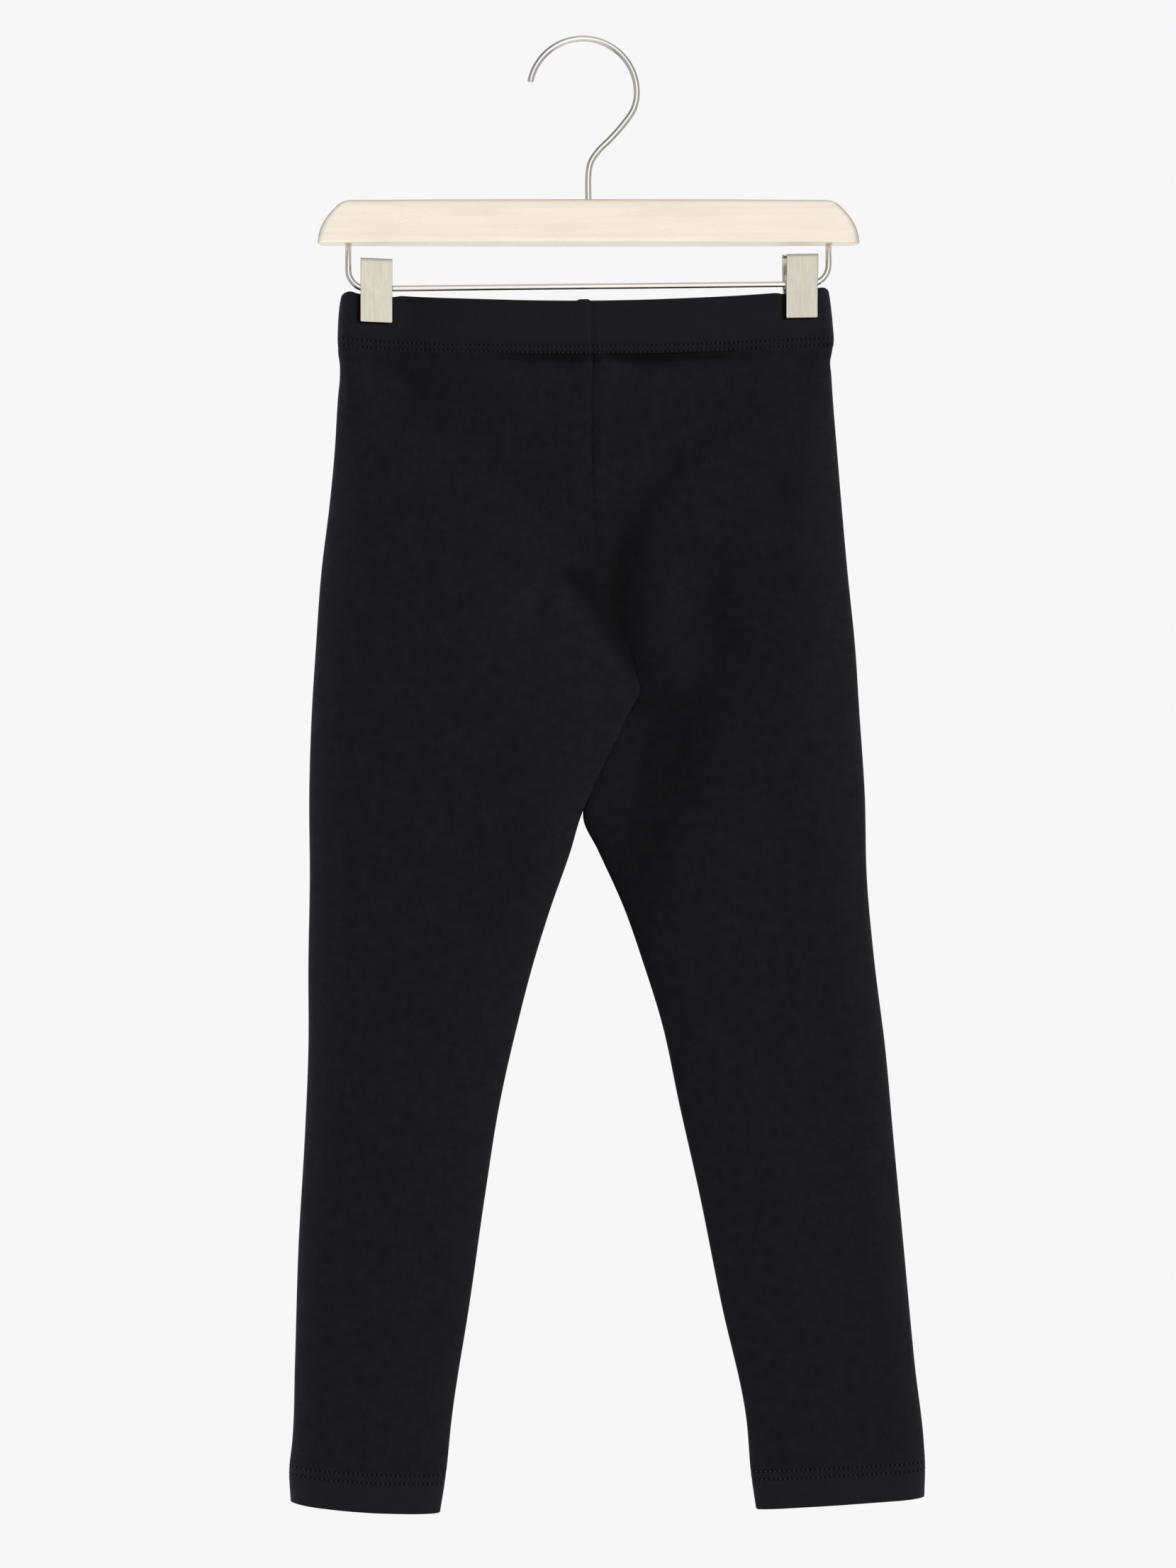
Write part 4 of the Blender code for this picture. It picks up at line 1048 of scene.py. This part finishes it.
# Small creases of the back, in the same columns
BACK_CREASES = (
    (-0.122, 0.176, -0.112, 0.210, 0.0060, 0.00027),
    (-0.108, 0.178, -0.090, 0.204, 0.0050, -0.00018),
    (0.116, 0.176, 0.100, 0.208, 0.0055, 0.00027),
    (0.102, 0.178, 0.078, 0.212, 0.0050, 0.00021),
    (-0.030, 0.250, 0.000, 0.288, 0.0070, -0.00027),
    (0.060, 0.276, 0.030, 0.312, 0.0060, 0.00027),
    (-0.018, 0.306, 0.014, 0.338, 0.0060, 0.00027),
    (0.070, 0.306, 0.042, 0.344, 0.0070, -0.00024),
    (-0.004, 0.348, 0.024, 0.372, 0.0055, -0.00027),
    (0.062, 0.342, 0.040, 0.380, 0.0055, 0.00027),
    (-0.086, 0.330, -0.050, 0.372, 0.0080, 0.00024),
    (-0.124, 0.420, -0.092, 0.470, 0.0085, 0.00021),
    (-0.078, 0.520, -0.060, 0.566, 0.0070, -0.00021),
    (-0.132, 0.600, -0.110, 0.650, 0.0080, 0.00021),
    (-0.092, 0.700, -0.120, 0.736, 0.0080, 0.00018),
    (0.130, 0.330, 0.112, 0.392, 0.0080, 0.00024),
    (0.070, 0.470, 0.096, 0.520, 0.0085, 0.00021),
    (0.150, 0.510, 0.130, 0.548, 0.0075, -0.00021),
    (0.088, 0.640, 0.116, 0.690, 0.0080, 0.00021),
    (0.164, 0.720, 0.144, 0.760, 0.0080, 0.00018),
)

# Rows of stitches above the hem's edge, and how the seams and the tight stitching shape the cloth
HEM_STITCH_RISES = (0.0165, 0.0210)
HEM_PULL = 0.00010
RISE_SEAM_DEPTH = 0.00030
RISE_SEAM_EASE = 0.90
RISE_SEAM_EASE_DROP = 0.215
RISE_SEAM_EASE_RUN = 0.060
INSEAM_DEPTH = 0.00030
SEAM_WIDTHS = (0.0030, 0.0012)
SEAM_LAP = 0.00020
CROTCH_LAP = 0.00130
CROTCH_LAP_REACH = 0.0100
PUCKER = 0.00008
PUCKER_LENGTH = 0.0052
PUCKER_FADE = 0.0110
PUCKER_START = 0.0040
PUCKER_WANDER = 1.3
PUCKER_WANDER_RATE = 210.0
PUCKER_FINE_RATE = 760.0
ALLOWANCE_NEAR = 0.0030
ALLOWANCE_END_DROP = 0.300
ALLOWANCE_FADE = 0.080

# Columns and rows of a leg's grid. Even rows have a start, an end and a step: just below the band, at the
# hips and down the leg. The others are given from the crotch's drop and above the hem's edge.
LEG_COLUMNS = 60
ROW_STEP = 0.0029
NEAR_BAND_ROWS = (0.1710, 0.1850, 0.0010)
HIP_ROWS = (0.1862, CROTCH_DROP - 0.0062, ROW_STEP)
LEG_ROWS = (CROTCH_DROP + 0.0032, HEM_DROP - 0.0265, ROW_STEP)
BESIDE_SEAM = np.array([0.0, 0.00018, 0.00042, 0.00075, 0.0012, 0.0018])
CROTCH_ROWS = (-0.0052, -0.0034, -0.0020, -0.0010, -0.0003, 0.0, 0.0004, 0.0014)
HEM_ROWS = (0.0240, 0.0228, 0.0219, 0.0210, 0.0201, 0.0188, 0.0174, 0.0165, 0.0156, 0.0142)
FOOT_ROWS = (0.0120, 0.0095, 0.0070, 0.0045, 0.0025, 0.0012)
HEM_LAYER = 0.0015

# Top edge of the legs, tucked in under the band: drop, inset
TUCK_ROWS = (
    (0.1662, 0.0014),
    (0.1670, 0.0008),
    (0.1678, 0.0004),
    (0.1685, 0.00018),
    (0.1691, 0.00012),
    (0.1697, 0.00004),
    (0.1703, 0.0),
)


def leg_base(side, drop):
    """One leg's cloth without its small relief: rows by drop, columns round from the front seam.

    x runs from the seam to the outer edge and back; y is the flattened tube's half depth, less its folds.
    """
    drop = drop[:, None]
    even = np.linspace(0, 1, LEG_COLUMNS)
    share = 0.05 * even + 0.95 * (1 - np.cos(np.pi * even)) / 2
    share = np.concatenate((np.zeros(len(BESIDE_SEAM)), share[1:]))
    near = np.concatenate((BESIDE_SEAM, np.full(LEG_COLUMNS - 1, BESIDE_SEAM[-1])))
    half = len(share)
    share = np.concatenate((share, share[-2::-1]))[None, :]
    near = np.concatenate((near, near[-2::-1]))[None, :]
    face = np.where(np.arange(2 * half - 1) < half - 1, -1.0, 1.0)[None, :]
    closed = (1 - np.clip((CROTCH_DROP - drop) / CROTCH_ARC, 0.0, 1.0)) ** 2
    column = 1 if side < 0 else 2
    rise = smooth_curve(drop, RISE_ROWS, 1)
    inner = np.where(drop < CROTCH_DROP, rise, smooth_curve(drop, INSEAM_ROWS, column))
    crotch_lap = CROTCH_LAP * bell(drop - CROTCH_DROP, CROTCH_LAP_REACH)
    inner = inner - side * (SEAM_LAP * (1 - closed) + crotch_lap)
    outer = smooth_curve(drop, SIDE_ROWS, column)
    run = near + (np.abs(outer - inner) - BESIDE_SEAM[-1]) * share
    x = inner + side * run
    reach = half_depth(x, drop) ** 2 / FOLD_RADIUS
    edges = nose(np.abs(outer - x), reach) * nose(run, reach, closed)
    y = cloth_depth(x, drop, face, 0.0, edges)
    tucks = np.where(face < 0, fold_depth(x, drop, FRONT_TUCKS), fold_depth(x, drop, BACK_TUCKS))
    y = y - face * tucks * edges
    pressed = (1 - ease(run / INSEAM_PRESS_WIDTH)) * ease((drop - LAP_END_DROP) / LAP_FADE)
    y = y * (1 - INSEAM_PRESS * pressed)
    lapping = ease((drop - CROTCH_DROP) / LAP_START) * (1 - ease((drop - LAP_END_DROP) / LAP_FADE))
    y = y + side * LAP_SHIFT * lapping * (1 - ease(run / LAP_WIDTH))
    outer_hem, inner_hem, bow = LEFT_HEM if side < 0 else RIGHT_HEM
    across = run / np.abs(outer - inner)
    tilt = inner_hem + (outer_hem - inner_hem) * across ** bow - HEM_DROP
    tilt = tilt * ease((drop - HEM_TILT_START) / (HEM_DROP - HEM_TILT_START))
    z = -(drop + sag(x, drop) + tilt)
    return np.stack((x, y, z), axis=-1), face, closed, edges


def crease_depth(x, drop, creases):
    """The folds' function for creases that are straight and even."""
    folds = [((*row[:2], row[4], *row[4:]), (*row[2:4], row[4], *row[4:])) for row in creases]
    return fold_depth(x, drop, folds)


def leg_surface(side, drop, inset):
    """The leg's outer surface: the base moved along its normal by seams, stitching, puckers and creases.

    Both allowances of the rise seam are pressed towards the right leg.
    """
    points, face, closed, edges = leg_base(side, drop)
    step = 0.0004
    down = leg_base(side, drop + step)[0] - leg_base(side, drop - step)[0]
    normal = side * np.cross(down, np.gradient(points, axis=1))
    normal /= np.linalg.norm(normal, axis=2, keepdims=True)
    closed_way = np.cumsum(np.linalg.norm(np.diff(points, axis=1), axis=2), axis=1)
    way = np.concatenate((np.zeros((len(points), 1)), closed_way), axis=1)
    from_seam = np.minimum(way, way[:, -1:] - way)
    drop = drop[:, None]
    column = 1 if side < 0 else 2
    x = points[..., 0]
    eased = RISE_SEAM_EASE * ease((drop - RISE_SEAM_EASE_DROP) / RISE_SEAM_EASE_RUN)
    rise_depth = RISE_SEAM_DEPTH * (1 - eased)
    seam_depth = INSEAM_DEPTH + (rise_depth - INSEAM_DEPTH) * (1 - closed)
    relief = -seam_depth * bell(from_seam, SEAM_WIDTHS[column - 1])
    if side > 0:
        allowance = ease(from_seam / ALLOWANCE_NEAR) * ease(3 - 3 * from_seam / ALLOWANCE)
        relief += ALLOWANCE_RISE * allowance * ease((ALLOWANCE_END_DROP - drop) / ALLOWANCE_FADE)
    for rise in HEM_STITCH_RISES:
        relief -= HEM_PULL * bell(drop - (HEM_DROP - rise), STITCH_PULL_WIDTH)
    below_band = drop - BAND_FOOT_DROP
    waist_pucker = bell(below_band, PUCKER_FADE) * ease(below_band / PUCKER_START)
    hem_pucker = 0.6 * bell(drop - (HEM_DROP - HEM_STITCH_RISES[1]), 0.5 * PUCKER_FADE)
    wander = PUCKER_WANDER * np.sin(way * PUCKER_WANDER_RATE)
    ripple = np.sin(2 * np.pi * way / PUCKER_LENGTH + wander) + 0.5 * np.sin(way * PUCKER_FINE_RATE)
    relief += PUCKER * (waist_pucker + hem_pucker) * ripple
    creases = np.where(face < 0, crease_depth(x, drop, FRONT_CREASES), crease_depth(x, drop, BACK_CREASES))
    relief -= creases * edges
    points = points + normal * (relief - inset[:, None])[..., None]
    joined = (points[:, 0] + points[:, -1]) / 2
    below = (drop[:, 0] >= CROTCH_DROP)[:, None]
    points[:, 0] = np.where(below, joined, points[:, 0])
    points[:, -1] = np.where(below, joined, points[:, -1])
    return points, normal, drop


def leg_rows():
    """Drops and insets of the leg's rows: tucked under the band, closer at the crotch, and turned in at the
    hem, where the cloth goes round its edge and up inside."""
    tuck, tuck_inset = np.array(TUCK_ROWS).T
    crotch = CROTCH_DROP + np.array(CROTCH_ROWS)
    hem = HEM_DROP - np.array(HEM_ROWS + FOOT_ROWS)
    plain = (np.arange(*NEAR_BAND_ROWS), np.arange(*HIP_ROWS), crotch, np.arange(*LEG_ROWS), hem)
    plain = np.concatenate(plain)
    turn = np.radians(np.linspace(0, 180, 8))
    turned_drop = HEM_DROP - JERSEY * (1 - np.sin(turn))
    turned_inset = HEM_LAYER / 2 * (1 - np.cos(turn))
    inside = HEM_DROP - np.linspace(HEM_LAYER, HEM_TURN, 9)
    drops = np.concatenate((tuck, plain, turned_drop, inside))
    insets = np.concatenate((tuck_inset, 0 * plain, turned_inset, 0 * inside + HEM_LAYER))
    return drops, insets


for side_name, side in (("left", -1), ("right", 1)):
    stitch_drops = HEM_DROP - np.array(HEM_STITCH_RISES)
    points, _, row_drops = leg_surface(side, *leg_rows())
    knit_map, stitch_map = cloth_maps(points, row_drops, stitch_drops)
    leg = put_grid(
        "jersey_leg_" + side_name,
        points,
        jersey,
        flip=side > 0,
        maps={"knit": knit_map, "stitches": stitch_map},
    )
    wall = leg.modifiers.new("jersey", "SOLIDIFY")
    wall.thickness = JERSEY
    wall.offset = -1.0
    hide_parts("leg_" + side_name)
    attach(leg, "root")
    row_points, row_normals, _ = leg_surface(side, stitch_drops, np.zeros(2))
    count = round(float(stitch_map[0, -1, 0]))
    rows = [stitches_along(line, outward, count) for line, outward in zip(row_points, row_normals)]
    hem_stitches = put_stitches("hem_stitches_" + side_name, rows)
    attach(hem_stitches, "root")


# Studio: a pale floor well below the hems and a near-white surround. The cloth is lit from the right, in
# front and behind, with a small fill from the left, and the bar by soft lights of its own. What the metal
# reflects is dimmer at the sides and dark below, and SOFT_SHARE of it lights the cloth and the wood.
FLOOR_DROP = 1.50
FLOOR_RADIUS = 1.60
SOFT_SHARE = 0.16
LIGHT_AIM = (0.0, 0.0, -0.42)

floor_paint, tree, shader = new_material("matt_white_floor_paint", Roughness=0.9)
place = add_node(tree, "ShaderNodeTexCoord").outputs["Object"]
grain = add_node(tree, "ShaderNodeTexNoise", {"Vector": place, "Scale": 3.0, "Detail": 3.0})
pale = add_node(tree, "ShaderNodeValToRGB", {"Fac": grain.outputs["Fac"]})
pale.color_ramp.elements[0].color = linear("#e4e4e5")
pale.color_ramp.elements[1].color = linear("#ececed")
tree.links.new(pale.outputs[0], shader.inputs["Base Color"])
turn = np.linspace(0, 2 * np.pi, 96, endpoint=False)
radius = np.array([0.0, 0.4, 0.8, 1.2, FLOOR_RADIUS])[:, None]
disc = np.stack((radius * np.cos(turn), radius * np.sin(turn), 0 * radius - FLOOR_DROP + 0 * turn), axis=-1)
floor = put_grid("floor", disc, floor_paint, around=True, flip=True)

world = bpy.data.worlds.new("studio")
world.use_nodes = True
bpy.context.scene.world = world
tree = world.node_tree
tree.nodes.clear()
way = add_node(tree, "ShaderNodeTexCoord").outputs["Generated"]
right, _, up = add_node(tree, "ShaderNodeSeparateXYZ", {0: way}).outputs
aside = add_node(tree, "ShaderNodeMath", {0: right, 1: 0.12}, operation="SUBTRACT")
aside = add_node(tree, "ShaderNodeMath", {0: aside}, operation="ABSOLUTE")
ahead = add_node(tree, "ShaderNodeMapRange", {0: aside, 1: 0.10, 2: 0.60, 3: 1.30, 4: 0.45})
ahead.interpolation_type = "SMOOTHSTEP"
raised = add_node(tree, "ShaderNodeMapRange", {0: up, 1: -0.85, 2: -0.40, 3: 0.20, 4: 1.0})
ceiling = add_node(tree, "ShaderNodeMapRange", {0: up, 1: 0.30, 2: 0.80, 3: 1.0, 4: 0.45})
light = add_node(tree, "ShaderNodeMath", {0: ahead, 1: raised}, operation="MULTIPLY")
light = add_node(tree, "ShaderNodeMath", {0: light, 1: ceiling}, operation="MULTIPLY")
rays = add_node(tree, "ShaderNodeLightPath")
glossy = rays.outputs["Is Glossy Ray"]
share = add_node(
    tree, "ShaderNodeMath", {0: glossy, 1: 1 - SOFT_SHARE, 2: SOFT_SHARE}, operation="MULTIPLY_ADD"
)
strength = add_node(tree, "ShaderNodeMath", {0: light, 1: share}, operation="MULTIPLY")
surround = add_node(tree, "ShaderNodeBackground", {"Color": (1.0, 0.99, 0.985, 1.0), "Strength": strength})
seen = add_node(tree, "ShaderNodeBackground", {"Color": linear("#f7f7f8"), "Strength": 1.0})
sky = add_node(tree, "ShaderNodeMixShader", {0: rays.outputs["Is Camera Ray"], 1: surround, 2: seen})
add_node(tree, "ShaderNodeOutputWorld", {"Surface": sky})


def add_light(name, pieces, place, size, colour, power):
    """Square soft light that looks from its place to the middle of the garment, and lights these pieces."""
    lamp = bpy.data.lights.new(name, "AREA")
    lamp.size = size
    lamp.energy = power
    lamp.color = linear(colour)[:3]
    holder = bpy.data.objects.new(name, lamp)
    holder.location = place
    x, y, z = (end - start for start, end in zip(place, LIGHT_AIM))
    holder.rotation_euler = (math.atan2(math.hypot(x, y), -z), 0.0, math.atan2(-x, y))
    holder.visible_glossy = False
    lit = bpy.data.collections.new(name + "_lights")
    for piece in pieces:
        lit.objects.link(piece)
    holder.light_linking.receiver_collection = lit
    bpy.context.scene.collection.objects.link(holder)


cloth = [piece for piece in bpy.data.objects if piece.name.startswith(("jersey", "waistband", "hem"))]
for face_name, face in (("front", -1), ("back", 1)):
    add_light(face_name + "_key", cloth, (7.70, 3.90 * face, 3.10), 3.0, "#fffefc", 1690.0)
    add_light(face_name + "_soft", [bar], (-0.60, 5.60 * face, -1.60), 2.0, "#fffefe", 332.0)
add_light("side_fill", cloth, (-5.00, 0.20, 0.30), 1.2, "#f6f6ff", 1000.0)
add_light("top_soft", [bar], (1.20, 0.00, 3.20), 2.0, "#fffefe", 34.0)
add_light("floor_light", [floor], (0.00, 0.00, 2.50), 2.5, "#fffefc", 170.0)
